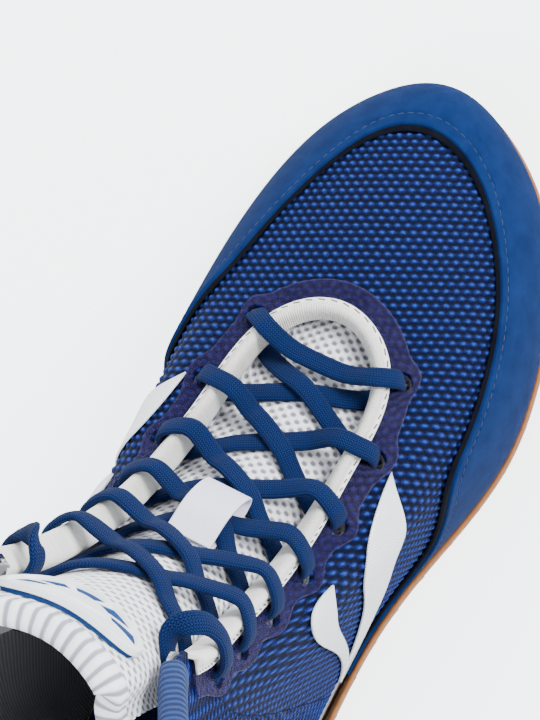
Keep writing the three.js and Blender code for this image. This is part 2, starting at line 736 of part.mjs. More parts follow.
const badgePlace = (radius, angle, offset) =>
  tongue(BADGE.row + BADGE.height * radius * Math.sin(angle),
    TONGUE_MIDDLE + BADGE.width * radius * Math.cos(angle), offset);

function badgeDisc(radii, bottom, top) {
  const ring = (radius, offset) =>
    steps(0, 2 * Math.PI, Math.PI / 12).slice(0, -1).map((angle) => badgePlace(radius, angle, offset));
  return loft([
    ...radii.map((radius) => ring(radius, top)),
    ...radii.toReversed().map((radius) => ring(radius, bottom)),
  ]);
}

function badgeWindow(from, to) {
  const section = [[0.5, -1], [0.5, 6], [0.78, 6], [0.78, -1]];
  const rings = steps(from, to, 0.2).map((angle) =>
    section.map(([radius, offset]) => badgePlace(radius, angle, offset)));
  return toSolid(loft(rings));
}

// The windows are in the half of the plate nearer the toe.
function badge() {
  const bottom = BADGE.gap;
  let solid = toSolid(badgeDisc([0.2, 0.45, 0.75, 1], bottom, bottom + BADGE.thickness));
  const windows = 5;
  const halfBar = 0.08;
  for (let k = 0; k < windows; k += 1) {
    const width = Math.PI / windows;
    solid = solid.subtract(badgeWindow(-k * width - halfBar, -(k + 1) * width + halfBar));
  }
  return toGeometry(solid);
}

const badgeBacking = () => badgeDisc([0.2, 0.45, 0.75, 0.95], 0.3, BADGE.gap - 0.35);

// ---- Pull loop ----

// The loop hinges on its sewn base, the lowest place of its webbing.
const pullLoopHinge = skin(HEEL, 3.84, PULL_LOOP.standOff);

function pullLoop() {
  const { width, thickness, height, depth } = PULL_LOOP;
  const count = 18;
  const places = [];
  for (let i = 0; i < count; i += 1) {
    const angle = (2 * Math.PI * i) / count - Math.PI / 2;
    const level = 0.5 + 0.5 * Math.sin(angle);
    const spread = (depth / 2) * Math.cos(angle) * (0.35 + 0.9 * level);
    const point = new THREE.Vector3(-spread - 2 * level, 0, height * level);
    places.push({ point, up: new THREE.Vector3(-Math.cos(angle), 0, Math.sin(angle)) });
  }
  const geometry = ribbon(places, width, thickness, true);
  return geometry.translate(...pullLoopHinge.toArray());
}

// ---- Assembly ----

const parts = [
  ['outsole', outsole(), MATERIALS.gum],
  ['midsole', slab(5.2, MIDSOLE), MATERIALS.foam],
  ['lasting_board', slab(-0.5, BOARD), MATERIALS.board],
  ['insole', slab(-0.5, INSOLE), MATERIALS.insole],
  ['insole_cover', slab(-0.5, INSOLE_COVER), MATERIALS.knit],
  ['lining', wholeUpper(LINING), MATERIALS.lining],
  ['toe_puff', toePuff(), MATERIALS.stiffener],
  ['heel_counter', heelCounter(), MATERIALS.stiffener],
  ['collar_padding', collarPadding(), MATERIALS.foam],
  ['eyestay_reinforcement_lateral', eyestayReinforcement(LATERAL), MATERIALS.stiffener],
  ['eyestay_reinforcement_medial', eyestayReinforcement(MEDIAL), MATERIALS.stiffener],
  ['upper_mesh', wholeUpper(MESH), MATERIALS.knit],
  ['toe_guard_backing', guardPanel(BACKING, BACKING_SHOWS), MATERIALS.black],
  ['toe_guard', guardPanel(OVERLAY, 0), MATERIALS.suede],
  ['heel_overlay', heelOverlay(), MATERIALS.suede],
  ['back_stay', backStay(), MATERIALS.lace],
  ['eyestay_film', eyestayFilm(), MATERIALS.film],
  ['throat_binding', throatBinding(), MATERIALS.binding],
  ['collar_binding', collarBinding(), MATERIALS.knit],
  ['side_chevron_lateral', chevron(LATERAL), MATERIALS.chevron],
  ['side_chevron_medial', chevron(MEDIAL), MATERIALS.chevron],
  ['tongue_mesh', tongueLayer(TONGUE_MESH), MATERIALS.spacer],
  ['tongue_foam', tongueLayer(TONGUE_FOAM), MATERIALS.foam],
  ['tongue_lining', tongueLayer(TONGUE_LINING), MATERIALS.lining],
  ['tongue_top_binding', tongueTopBinding(), MATERIALS.binding],
  ['tongue_lace_loop', tongueLaceLoop(), MATERIALS.tape],
  ['badge_backing', badgeBacking(), MATERIALS.suede],
  ['tongue_badge', badge(), MATERIALS.moulded],
  ['lace', lace(), MATERIALS.lace],
  ['aglet_lateral', aglet(LATERAL), MATERIALS.aglet],
  ['aglet_medial', aglet(MEDIAL), MATERIALS.aglet],
  ['heel_pull_loop', pullLoop(), MATERIALS.lace],
];

const boot = new THREE.Group();
for (const [name, geometry, look] of parts) {
  const mesh = new THREE.Mesh(geometry, look);
  mesh.name = name;
  boot.add(mesh);
}

// The origin is under the middle of the boot's box.
const middle = new THREE.Box3().setFromObject(boot).getCenter(new THREE.Vector3());
boot.position.set(-middle.x, -middle.y, 0);

export default boot;
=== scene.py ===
import functools
import math

import bpy
import numpy as np
from mathutils import Matrix, Vector


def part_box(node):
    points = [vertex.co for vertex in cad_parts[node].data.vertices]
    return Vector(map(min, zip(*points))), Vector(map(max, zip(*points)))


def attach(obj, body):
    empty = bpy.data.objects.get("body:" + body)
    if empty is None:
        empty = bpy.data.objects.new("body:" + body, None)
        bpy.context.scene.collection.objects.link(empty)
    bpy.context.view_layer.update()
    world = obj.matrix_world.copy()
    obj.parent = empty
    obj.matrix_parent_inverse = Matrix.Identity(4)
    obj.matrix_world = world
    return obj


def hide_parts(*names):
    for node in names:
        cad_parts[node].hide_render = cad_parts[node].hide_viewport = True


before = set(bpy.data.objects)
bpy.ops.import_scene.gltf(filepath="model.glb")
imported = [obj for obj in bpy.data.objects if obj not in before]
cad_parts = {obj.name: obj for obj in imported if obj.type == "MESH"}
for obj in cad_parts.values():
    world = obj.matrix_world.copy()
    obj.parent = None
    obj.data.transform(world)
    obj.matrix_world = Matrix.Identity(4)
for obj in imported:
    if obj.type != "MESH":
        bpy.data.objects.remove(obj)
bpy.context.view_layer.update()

# ---- The camera, the floor and the lights ----

CAMERA_AT = Vector((0.0184, -0.1279, 0.6114))
LOOKS_ALONG = Vector((0.037, 0.252, -0.967)).normalized()
RIGHT_OF_PICTURE = Vector((0.4387, -0.8736, -0.2108))


def turned(place, ahead, right):
    """The matrix of a camera or lamp at a place, that looks ahead."""
    up = right.cross(ahead).normalized()
    side = ahead.cross(up).normalized()
    matrix = Matrix((side, up, -ahead)).transposed().to_4x4()
    matrix.translation = place
    return matrix


camera = bpy.data.objects.new("camera", bpy.data.cameras.new("camera"))
bpy.context.scene.collection.objects.link(camera)
camera.data.sensor_width = 36
camera.data.lens = 95
camera.data.clip_start = 0.01
camera.matrix_world = turned(CAMERA_AT, LOOKS_ALONG, RIGHT_OF_PICTURE)
bpy.context.scene.camera = camera


def soft_light(name, place, target, size, power):
    lamp = bpy.data.lights.new(name, "AREA")
    lamp.shape = "DISK"
    lamp.size = size
    lamp.energy = power
    lamp_object = bpy.data.objects.new(name, lamp)
    bpy.context.scene.collection.objects.link(lamp_object)
    ahead = (Vector(target) - Vector(place)).normalized()
    lamp_object.matrix_world = turned(Vector(place), ahead, Vector((0.3, 0.9, 0.2)))


soft_light("key_light", (0.8, -0.75, 1.15), (0.0, 0, 0.05), 0.6, 38)
soft_light("toe_light", (1.0, 0.5, 0.9), (0, 0, 0.08), 0.7, 14)
soft_light("rear_light", (-0.9, 0.2, 0.9), (0, 0, 0.1), 0.6, 11)

world = bpy.data.worlds.new("studio")
bpy.context.scene.world = world
world.use_nodes = True
sky = world.node_tree.nodes["Background"].inputs
sky["Color"].default_value = (0.93, 0.96, 1.0, 1)
sky["Strength"].default_value = 1.3


# ---- Materials ----


class Shader:
    """A material's node tree, built by calls."""

    def __init__(self, name):
        self.material = bpy.data.materials.new(name)
        self.material.use_nodes = True
        self.tree = self.material.node_tree
        self.tree.nodes.clear()

    def node(self, kind, **inputs):
        made = self.tree.nodes.new("ShaderNode" + kind)
        for key, value in inputs.items():
            if key[0].islower():
                setattr(made, key, value)
        for key, value in inputs.items():
            if not key[0].islower():
                self.feed(made.inputs[key.replace("_", " ")], value)
        return made

    def feed(self, socket, value):
        if isinstance(value, bpy.types.NodeSocket):
            self.tree.links.new(value, socket)
        else:
            socket.default_value = (*value, 1) if socket.type == "RGBA" else value

    def math(self, operation, a, b=0.0, c=0.0):
        made = self.node("Math", operation=operation)
        for socket, value in zip(made.inputs, (a, b, c)):
            self.feed(socket, value)
        return made.outputs[0]

    def wave(self, value, pitch):
        return self.math("COSINE", self.math("MULTIPLY", value, 2 * math.pi / pitch))

    def weave(self):
        """The UV map with its two coordinates, in millimetres."""
        uv = self.node("UVMap", uv_map="weave").outputs[0]
        parts = self.node("SeparateXYZ", Vector=uv)
        return uv, parts.outputs[0], parts.outputs[1]

    def place(self):
        return self.node("TexCoord").outputs["Object"]

    def noise(self, coordinate, scale, detail=3.0, roughness=0.55):
        return self.node(
            "TexNoise", Vector=coordinate, Scale=scale, Detail=detail, Roughness=roughness
        ).outputs["Fac"]

    def ramp(self, value, *stops):
        made = self.node("ValToRGB", Fac=value)
        elements = made.color_ramp.elements
        while len(elements) < len(stops):
            elements.new(0.5)
        for element, (place, color) in zip(elements, stops):
            element.position = place
            element.color = (*color, 1)
        return made.outputs[0]

    def span(self, value, low, high, to_low=0.0, to_high=1.0):
        return self.node(
            "MapRange", interpolation_type="SMOOTHSTEP", Value=value,
            From_Min=low, From_Max=high, To_Min=to_low, To_Max=to_high,
        ).outputs[0]

    def fade(self, value, low, high, deep, light):
        """From one colour to the other as the value rises."""
        return self.ramp(self.span(value, low, high), (0.0, deep), (1.0, light))

    def mix(self, share, a, b):
        made = self.node("Mix", data_type="RGBA")
        for k, value in ((0, share), (6, a), (7, b)):
            self.feed(made.inputs[k], value)
        return made.outputs[2]

    def bump(self, height, distance, strength=1.0):
        return self.node("Bump", Height=height, Distance=distance, Strength=strength).outputs[0]

    def finish(self, color, roughness, normal, sheen=0.0, coat=0.0, see_through=None, specular=0.5):
        shown = self.node(
            "BsdfPrincipled", Base_Color=color, Roughness=roughness, Normal=normal, Sheen_Weight=sheen,
            Sheen_Roughness=0.45, Coat_Weight=coat, Specular_IOR_Level=specular,
        ).outputs[0]
        if see_through is not None:
            share, tint = see_through
            clear = self.node("BsdfTransparent", Color=tint).outputs[0]
            blended = self.node("MixShader")
            for socket, value in zip(blended.inputs, (share, shown, clear)):
                self.feed(socket, value)
            shown = blended.outputs[0]
        self.node("OutputMaterial", Surface=shown)
        return self.material


def lattice(shader, a, b, pitch_a, pitch_b):
    """A field from -1 to 1 with high places in offset rows: two in each cell."""
    return shader.math("MULTIPLY", shader.wave(a, pitch_a), shader.wave(b, pitch_b))


def knotted(shader, a, b, pitch_a, pitch_b):
    """As a lattice, with its rows of high places joined up."""
    row = shader.math("MULTIPLY", shader.wave(a, pitch_a / 2), ROW_SHARE)
    return shader.math("MULTIPLY_ADD", lattice(shader, a, b, pitch_a, pitch_b), KNOT_SHARE, row)


KNIT_PITCH = (4.4, 3.1)
KNOT_SHARE, ROW_SHARE = 0.6, 0.45


def knit_material(bright, body, dark):
    s = Shader("knit")
    uv, a, b = s.weave()
    wander = s.math("MULTIPLY_ADD", s.noise(uv, 0.9, 2), 0.7, -0.35)
    field = knotted(s, s.math("ADD", a, wander), s.math("ADD", b, wander), *KNIT_PITCH)
    yarn = s.noise(uv, 3.4, 2.5, 0.6)
    level = s.math("MULTIPLY_ADD", yarn, 2.0, s.math("ADD", field, -1.05))
    color = s.ramp(
        s.span(level, -0.9, 1.05), (0.0, dark), (0.24, dark), (0.42, body), (0.72, body), (1.0, bright)
    )
    normal = s.bump(s.math("MULTIPLY_ADD", yarn, 0.8, field), 0.0004, 0.9)
    return s.finish(color, 0.7, normal, specular=0.1)


def suede_material(name, light, deep):
    s = Shader(name)
    at = s.place()
    nap = s.noise(at, 2600, 4, 0.7)
    brushed = s.noise(at, 160, 3, 0.6)
    blend = s.math("MULTIPLY_ADD", nap, 0.55, s.math("MULTIPLY", brushed, 0.6))
    color = s.fade(blend, 0.3, 0.85, deep, light)
    return s.finish(color, 0.95, s.bump(nap, 0.00022, 1.0), sheen=0.02, specular=0.04)


def woven_material(name, light, deep, pitch, slant=0.0, roughness=0.75, depth=0.00012, sheen=0.2):
    """Fine ribs across the first coordinate, slanted by the second."""
    s = Shader(name)
    uv, a, b = s.weave()
    rib = s.wave(s.math("MULTIPLY_ADD", b, slant, a), pitch)
    thread = s.noise(uv, 4.0, 2, 0.6)
    level = s.math("MULTIPLY_ADD", thread, 0.7, s.math("MULTIPLY", rib, 0.35))
    color = s.fade(level, -0.1, 0.85, deep, light)
    return s.finish(color, roughness, s.bump(level, depth), sheen=sheen)


def plain_material(name, light, deep, scale, roughness, depth, coat=0.0, sheen=0.0):
    s = Shader(name)
    at = s.place()
    grain = s.noise(at, scale, 4, 0.6)
    color = s.fade(grain, 0.3, 0.7, deep, light)
    rough = s.span(s.noise(at, scale * 0.3, 2), 0.3, 0.7, roughness - 0.05, roughness + 0.05)
    return s.finish(color, rough, s.bump(grain, depth), sheen=sheen, coat=coat)


MESH_PITCH = (3.4, 4.2)


def spacer_material():
    s = Shader("spacer_mesh")
    uv, a, b = s.weave()
    field = lattice(s, a, b, *MESH_PITCH)
    yarn = s.noise(uv, 4.5, 2, 0.6)
    level = s.math("MULTIPLY_ADD", yarn, 0.5, s.math("MULTIPLY", field, -1.0))
    color = s.ramp(
        s.span(level, -0.75, 0.6),
        (0.0, (0.2, 0.2, 0.23)),
        (0.42, (0.36, 0.36, 0.42)),
        (0.7, (0.83, 0.83, 0.88)),
        (1.0, (0.93, 0.93, 0.97)),
    )
    return s.finish(color, 0.7, s.bump(level, 0.0004, 0.8), sheen=0.2)


THROAT_RIB = 0.62


def binding_material():
    """Ribbed over the roll, with painted shade in the furrows between the ribs and dark stitch slots along
    the flat edge.
    """
    s = Shader("binding")
    uv, along, away = s.weave()
    rib = s.wave(along, THROAT_RIB)
    roll = s.span(away, 4.6, 5.2, 1.0, 0.2)
    beat = s.math("FRACT", s.math("MULTIPLY", along, 1 / 2.9))
    length = s.math("LESS_THAN", beat, 0.55)
    slant = s.math("MULTIPLY_ADD", beat, 0.5, away)
    across = s.math("LESS_THAN", s.math("ABSOLUTE", s.math("ADD", slant, -6.05)), 0.2)
    slot = s.math("MULTIPLY", length, across)
    soft = s.noise(uv, 1.4, 3, 0.6)
    cloth = s.fade(soft, 0.3, 0.7, (0.74, 0.735, 0.69), (0.86, 0.86, 0.825))
    # Painted shade: over the roll, the cloth is darkened to grey in the troughs between the ribs.
    painted_furrow_shade = s.math("MULTIPLY", s.span(rib, -1, -0.2, 0.35, 0.0), roll)
    ribbed = s.mix(painted_furrow_shade, cloth, (0.45, 0.45, 0.42))
    color = s.mix(slot, ribbed, (0.05, 0.05, 0.06))
    relief = s.math("MULTIPLY_ADD", slot, -2.5, s.math("MULTIPLY", rib, roll))
    return s.finish(color, 0.55, s.bump(relief, 0.00009), sheen=0.1)


def film_material():
    """A tinted film: the knit below shows through, and the edge catches the light."""
    s = Shader("tinted_film")
    uv, along, edge = s.weave()
    color = s.fade(s.noise(uv, 0.12, 2), 0.3, 0.7, (0.012, 0.009, 0.04), (0.022, 0.017, 0.06))
    # Painted highlight: the film's colour is lightened near its edge, where the edge catches the light.
    rim = s.span(edge, 0.05, 0.4, 1.0, 0.0)
    color = s.mix(s.math("MULTIPLY", rim, 0.3), color, (0.1, 0.09, 0.17))
    field = lattice(s, along, edge, 3.6, 4.0)
    color = s.mix(s.span(field, 0.0, 0.9, 0.0, 0.3), color, (0.06, 0.06, 0.13))
    share = s.span(rim, 0.0, 1.0, 0.68, 0.35)
    normal = s.bump(s.math("ADD", field, s.noise(uv, 0.7, 3)), 0.00012, 0.7)
    return s.finish(color, 0.42, normal, see_through=(share, (0.75, 0.7, 0.95)), specular=0.1)


def lace_material():
    """A flat braid: fine plaits run to and fro along the ridges."""
    s = Shader("lace_braid")
    uv, along, across = s.weave()
    fold = s.math("PINGPONG", s.math("ADD", across, 100), 0.48)
    plait = s.wave(s.math("MULTIPLY_ADD", fold, 1.1, along), 0.72)
    ridge = s.wave(across, 0.8)
    yarn = s.noise(uv, 4.2, 3, 0.7)
    level = s.math("MULTIPLY_ADD", plait, 0.3, s.math("MULTIPLY_ADD", ridge, 0.15, yarn))
    color = s.ramp(
        s.span(level, 0.0, 1.1),
        (0.0, (0.0008, 0.0025, 0.014)),
        (0.45, (0.0025, 0.0095, 0.052)),
        (1.0, (0.009, 0.032, 0.125)),
    )
    return s.finish(color, 0.8, s.bump(level, 0.00016), sheen=0.03, specular=0.06)


def chevron_material():
    s = Shader("chevron_film")
    _, a, b = s.weave()
    cells = lattice(s, a, b, 1.5, 1.5)
    color = s.fade(cells, -1, 1, (0.74, 0.77, 0.8), (0.9, 0.92, 0.94))
    return s.finish(color, 0.22, s.bump(cells, 0.00008), coat=0.5)


MATERIALS = {
    "knit": knit_material((0.020, 0.052, 0.25), (0.0042, 0.0115, 0.09), (0.001, 0.002, 0.011)),
    "film": film_material(),
    "binding": binding_material(),
    "spacer_mesh": spacer_material(),
    "lace": lace_material(),
    "chevron": chevron_material(),
}
for name, *looks in (
    ("suede", (0.006, 0.024, 0.10), (0.0025, 0.012, 0.06)),
    # Near black, for the toe guard backing: its edge shows as a thin dark line along the guard's top, partly
    # the backing's own dark edge and partly painted shade under the raised guard.
    ("black_backing_and_shade", (0.006, 0.007, 0.012), (0.002, 0.002, 0.004)),
    ("vent_backing", (0.02, 0.065, 0.2), (0.01, 0.035, 0.13)),
):
    MATERIALS[name] = suede_material(name, *looks)
for name, *looks in (
    ("lining", (0.34, 0.34, 0.36), (0.16, 0.16, 0.18), 1.1, 0.6),
    ("tape", (0.80, 0.79, 0.92), (0.66, 0.65, 0.80), 0.7, 0.7, 0.5, 0.00006),
    ("webbing", (0.014, 0.05, 0.18), (0.0025, 0.01, 0.05), 0.9, 0.9, 0.8, 0.0002, 0.05),
    ("collar_knit", (0.014, 0.05, 0.2), (0.0025, 0.01, 0.055), 1.2, 0.0, 0.8, 0.0003, 0.05),
):
    MATERIALS[name] = woven_material(name, *looks)
for name, *looks in (
    ("moulded", (0.86, 0.87, 0.89), (0.80, 0.81, 0.84), 240, 0.32, 0.00003, 0.2),
    ("aglet", (0.03, 0.07, 0.2), (0.02, 0.05, 0.14), 500, 0.25, 0.00003, 0.5),
    ("gum", (0.32, 0.125, 0.034), (0.25, 0.09, 0.024), 330, 0.55, 0.0001),
    ("midsole_foam", (0.80, 0.80, 0.78), (0.70, 0.70, 0.68), 900, 0.8, 0.0001),
    ("padding", (0.78, 0.78, 0.74), (0.66, 0.66, 0.62), 900, 0.9, 0.0002),
    ("board", (0.6, 0.56, 0.48), (0.48, 0.44, 0.36), 500, 0.9, 0.0001),
    ("insole_foam", (0.03, 0.035, 0.045), (0.015, 0.018, 0.025), 700, 0.9, 0.0002),
    ("insole_fabric", (0.008, 0.028, 0.12), (0.003, 0.011, 0.06), 1500, 0.9, 0.0003, 0.0, 0.3),
    ("stiffener", (0.72, 0.68, 0.6), (0.6, 0.56, 0.48), 600, 0.8, 0.0001),
    ("thread", (0.0045, 0.018, 0.075), (0.002, 0.01, 0.05), 1500, 0.7, 0.0001),
):
    MATERIALS[name] = plain_material(name, *looks)
MATERIALS["backing"] = MATERIALS.pop("black_backing_and_shade")

# ---- The last, as the CAD has it: stations round the foot, heights up it, in millimetres ----

LAST_SCALE = 0.95
HEEL = 14
EDGE = 4
LAP = 4
THROAT_TOP = 10
TOE_SWING = (10, 130, 9)
TOE_SPRING = (72, 66, 6.5)
LATERAL = 1
MEDIAL = -1

RAILS = [
    [[141, 0, 6], [134, 18, 6], [118, 33, 6], [96, 43, 6], [70, 48, 6], [44, 49, 6], [18, 44, 6],
     [-6, 38, 6], [-30, 34, 6], [-55, 33, 6], [-78, 33, 6], [-100, 32.5, 6], [-120, 28, 6],
     [-135, 16, 6], [-141, 0, 6]],
    [[143.5, 0, 17], [136, 19, 17], [119, 35, 18], [96, 45.5, 19], [70, 51, 20], [44, 52, 21],
     [18, 47, 22], [-6, 41, 23], [-30, 37.5, 24], [-55, 36.5, 25], [-78, 36.5, 26], [-101, 36, 27],
     [-123, 31, 28], [-140, 17.5, 28], [-147, 0, 28]],
    [[133, 0, 35], [124, 18.5, 35.5], [102, 34.5, 38.5], [78, 43.5, 41], [53, 47.2, 45],
     [28, 46.8, 50.5], [5, 42.8, 56.5], [-16, 39.7, 62.5], [-37, 37.2, 68.5], [-56, 36.2, 73.5],
     [-74, 35.5, 77], [-94, 34, 80], [-114, 27.8, 82], [-129, 15, 83], [-134.5, 0, 83]],
    [[93, 0, 55], [86, 18, 55], [66, 32, 57.5], [44, 36.5, 63.5], [22, 37.5, 72.5], [2, 37, 80.5],
     [-15, 35, 91.5], [-30, 33.3, 107.5], [-44, 33, 130], [-55, 33.5, 150], [-66, 34.5, 156],
     [-80, 35, 152], [-102, 31.5, 147], [-120, 18.2, 146], [-127.5, 0, 146]],
    [[57, 0, 66], [54, 8.5, 66.5], [46, 15, 68.5], [34, 18, 73.5], [20, 18.5, 80.5], [6, 19, 89.5],
     [-8, 19.5, 102], [-20, 20, 118], [-31, 21, 141], [-39, 23, 168], [-44, 26, 191],
     [-63, 35, 190], [-89, 38, 187], [-115, 29, 186], [-132, 0, 188]],
]


def smooth(value, low, high):
    t = np.clip((value - low) / (high - low), 0, 1)
    return t * t * (3 - 2 * t)


@functools.lru_cache
def bends(count):
    """The matrix from a natural cubic spline's points to its second derivatives."""
    left, right = np.eye(count), np.zeros((count, count))
    for i in range(1, count - 1):
        left[i, i - 1 : i + 2] = (1, 4, 1)
        right[i, i - 1 : i + 2] = (6, -12, 6)
    return np.linalg.solve(left, right)


def spline(points, t):
    """The natural spline through points (first axis) at whole-number parameters."""
    points, t = np.asarray(points, float), np.asarray(t, float)
    bend = np.tensordot(bends(len(points)), points, 1)
    i = np.clip(np.floor(t).astype(int), 0, len(points) - 2)
    f = (t - i)[..., None]
    g = 1 - f
    return points[i] * g + points[i + 1] * f + bend[i] * (g**3 - g) / 6 + bend[i + 1] * (f**3 - f) / 6


def spline_across(stack, t):
    """As spline, where each place has a stack of points of its own."""
    bend = np.tensordot(bends(len(stack)), stack, 1)
    i = np.clip(np.floor(t).astype(int), 0, len(stack) - 2)[None, ..., None]
    f = t[..., None] - i[0]
    g = 1 - f
    pick = functools.partial(np.take_along_axis, axis=0)
    return (
        pick(stack, i)[0] * g
        + pick(stack, i + 1)[0] * f
        + pick(bend, i)[0] * (g**3 - g) / 6
        + pick(bend, i + 1)[0] * (f**3 - f) / 6
    )


def rise(shape, x):
    start, over, by = shape
    return by * np.maximum(0, (x - start) / over) ** 2


def rail_loop(rail):
    half = np.array(rail, float)
    x, y, z = half.T
    waist = 1 - 0.22 * np.exp(-(((x + 5) / 38) ** 2)) * np.maximum(0, 1 - z / 60)
    inner = np.stack([x, y * waist, z], 1)[::-1]
    outer = half * (1, -1, 1)
    loop = np.concatenate([inner, outer[1:]])
    return np.concatenate([loop[-1 - LAP : -1], loop, loop[1 : 1 + LAP]])


rail_loops = [rail_loop(rail) for rail in RAILS]


def last(u, h):
    u, h = np.broadcast_arrays(np.asarray(u, float), np.asarray(h, float))
    station = (u + HEEL) % (2 * HEEL) + LAP
    point = spline_across(np.stack([spline(rail, station) for rail in rail_loops]), h)
    point[..., 1] += rise(TOE_SWING, point[..., 0])
    point *= LAST_SCALE
    point[..., 2] += rise(TOE_SPRING, point[..., 0])
    return point


def unit(vectors):
    return vectors / np.maximum(np.linalg.norm(vectors, axis=-1, keepdims=True), 1e-9)


def last_normal(u, h):
    step = 0.002
    u, h = np.broadcast_arrays(np.asarray(u, float), np.asarray(h, float))
    middle = np.clip(h, step, EDGE - step)
    along = last(u + step, middle) - last(u - step, middle)
    up = last(u, middle + step) - last(u, middle - step)
    normal = unit(np.cross(up, along))
    normal[..., 2] *= smooth(h, 0, 0.8)
    return unit(normal)


def wrapped(u):
    return (u + HEEL) % (2 * HEEL) - HEEL


def collar_puff(u, h):
    behind = smooth(np.abs(wrapped(u)), 10, 11.5)
    rising, falling = (h - 2.5) / 0.5, (EDGE - h) / 0.5
    return 2.6 * behind * np.clip(np.minimum(rising, falling), 0, 1)


def skin(u, h, offset, swollen=True):
    """A point that far off the last, over the collar's padding if swollen."""
    u, h = np.broadcast_arrays(np.asarray(u, float), np.asarray(h, float))
    swell = collar_puff(u, h) if swollen else 0
    return last(u, h) + last_normal(u, h) * (np.asarray(offset, float) + swell)[..., None]


def distances(points):
    """How far along a row of points each one lies."""
    steps = np.linalg.norm(np.diff(points, axis=0), axis=-1)
    return np.concatenate([0 * steps[:1], np.cumsum(steps, axis=0)])


def columns_at(places, at, values):
    """Each column of values, read between the places that they are known at."""
    return np.stack([np.interp(places, at, column) for column in values.T], -1)


def read_table(table, a, b):
    """A table's value between its whole-number places."""
    i = np.clip(a.astype(int), 0, table.shape[0] - 2)
    j = np.clip(b.astype(int), 0, table.shape[1] - 2)
    f, g = a - i, b - j
    return (
        table[i, j] * (1 - f) * (1 - g)
        + table[i + 1, j] * f * (1 - g)
        + table[i, j + 1] * (1 - f) * g
        + table[i + 1, j + 1] * f * g
    )


TABLE_STEP = 0.1
REACH_STEP = 0.5
REACH = 60


def height_table():
    """For each station, the height at each distance below the edge of the throat or collar."""
    u = np.arange(-HEEL, HEEL + TABLE_STEP / 2, TABLE_STEP)
    h = np.arange(EDGE, -0.001, -0.02)
    rows = np.swapaxes(last(u[:, None], h[None]), 0, 1)
    below = np.arange(0, REACH + REACH_STEP, REACH_STEP)
    return np.array([np.interp(below, row, h) for row in distances(rows).T])


heights = height_table()


def height_at(u, distance):
    u, distance = np.broadcast_arrays(wrapped(np.asarray(u, float)), np.asarray(distance, float))
    return read_table(heights, (u + HEEL) / TABLE_STEP, np.clip(distance, 0, REACH) / REACH_STEP)


def rim(u, away, offset):
    """A point near the edge: away > 0 is on the boot, away < 0 reaches into the opening."""
    u, away, offset = np.broadcast_arrays(*(np.asarray(v, float) for v in (u, away, offset)))
    point = skin(u, height_at(u, np.maximum(away, 0)), offset, False)
    outwards = unit(last(u, EDGE) - last(u, EDGE - 0.05))
    return point + outwards * np.maximum(-away, 0)[..., None]


def evenly(points, spacing):
    """Parameters that step evenly along a dense row of points."""
    gone = distances(points)
    count = max(2, int(round(gone[-1] / spacing)) + 1)
    return np.interp(np.linspace(0, gone[-1], count), gone, np.arange(len(points)))


def stations(start, end, spacing, h=2.5):
    """Stations from start to end, evenly spaced in millimetres at a height."""
    fine = np.linspace(start, end, 600)
    return np.interp(evenly(last(fine, h), spacing), np.arange(600), fine)


# The CAD's origin is under the middle of its box.
LOOP_HINGE = skin(HEEL, 3.84, 8.2)
OUTSOLE_TOE = skin(0, 0, 7.8)
loop_low, loop_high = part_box("heel_pull_loop")
SHIFT = np.array(
    [
        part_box("outsole")[1].x * 1000 - OUTSOLE_TOE[0],
        (loop_low.y + loop_high.y) * 500 - LOOP_HINGE[1],
        0,
    ]
)

# ---- Pieces ----

def piece(name, points, faces, finish, nodes=(), uv=None, body="boot"):
    """A mesh on a body. Points are in millimetres, faces are arrays of corners, uv is per point."""
    points = (np.asarray(points, float).reshape(-1, 3) + SHIFT) / 1000
    faces = [np.asarray(f) for f in faces if len(f)]
    corners = np.concatenate([f.ravel() for f in faces])
    sizes = np.concatenate([np.full(len(f), f.shape[1]) for f in faces])
    mesh = bpy.data.meshes.new(name)
    mesh.vertices.add(len(points))
    mesh.vertices.foreach_set("co", points.ravel())
    mesh.loops.add(len(corners))
    mesh.loops.foreach_set("vertex_index", corners.astype(np.int32))
    mesh.polygons.add(len(sizes))
    starts = np.concatenate([[0], np.cumsum(sizes)[:-1]])
    mesh.polygons.foreach_set("loop_start", starts.astype(np.int32))
    mesh.update(calc_edges=True)
    if uv is not None:
        layer = mesh.uv_layers.new(name="weave")
        layer.data.foreach_set("uv", np.asarray(uv, float).reshape(-1, 2)[corners].ravel())
    mesh.validate()
    mesh.materials.append(MATERIALS[finish])
    mesh.polygons.foreach_set("use_smooth", np.ones(len(mesh.polygons), bool))
    made = bpy.data.objects.new(name, mesh)
    bpy.context.scene.collection.objects.link(made)
    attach(made, body)
    if nodes:
        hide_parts(*nodes)
    return made


def grid_quads(n, m, wrap_n=False, wrap_m=False):
    index = np.arange(n * m).reshape(n, m)
    if wrap_n:
        index = np.concatenate([index, index[:1]])
    if wrap_m:
        index = np.concatenate([index, index[:, :1]], 1)
    return np.stack(
        [index[:-1, :-1], index[:-1, 1:], index[1:, 1:], index[1:, :-1]], -1
    ).reshape(-1, 4)


def tube_faces(rings, closed=False):
    """The faces of a row of closed rings, with its ends capped unless it closes on itself."""
    n, m = rings.shape[:2]
    faces = [grid_quads(n, m, wrap_n=closed, wrap_m=True)]
    if not closed:
        faces += [np.arange(m)[None, ::-1], (np.arange(m) + (n - 1) * m)[None]]
    return faces


def open_edges(quads, count):
    """The edges that only one quad has, their points, and each point's place among those."""
    a, b = quads.ravel(), np.roll(quads, -1, 1).ravel()
    lone = ~np.isin(a * count + b, b * count + a)
    a, b = a[lone], b[lone]
    edge = np.unique(np.concatenate([a, b]))
    place = np.zeros(count, int)
    place[edge] = np.arange(len(edge))
    return a, b, edge, place


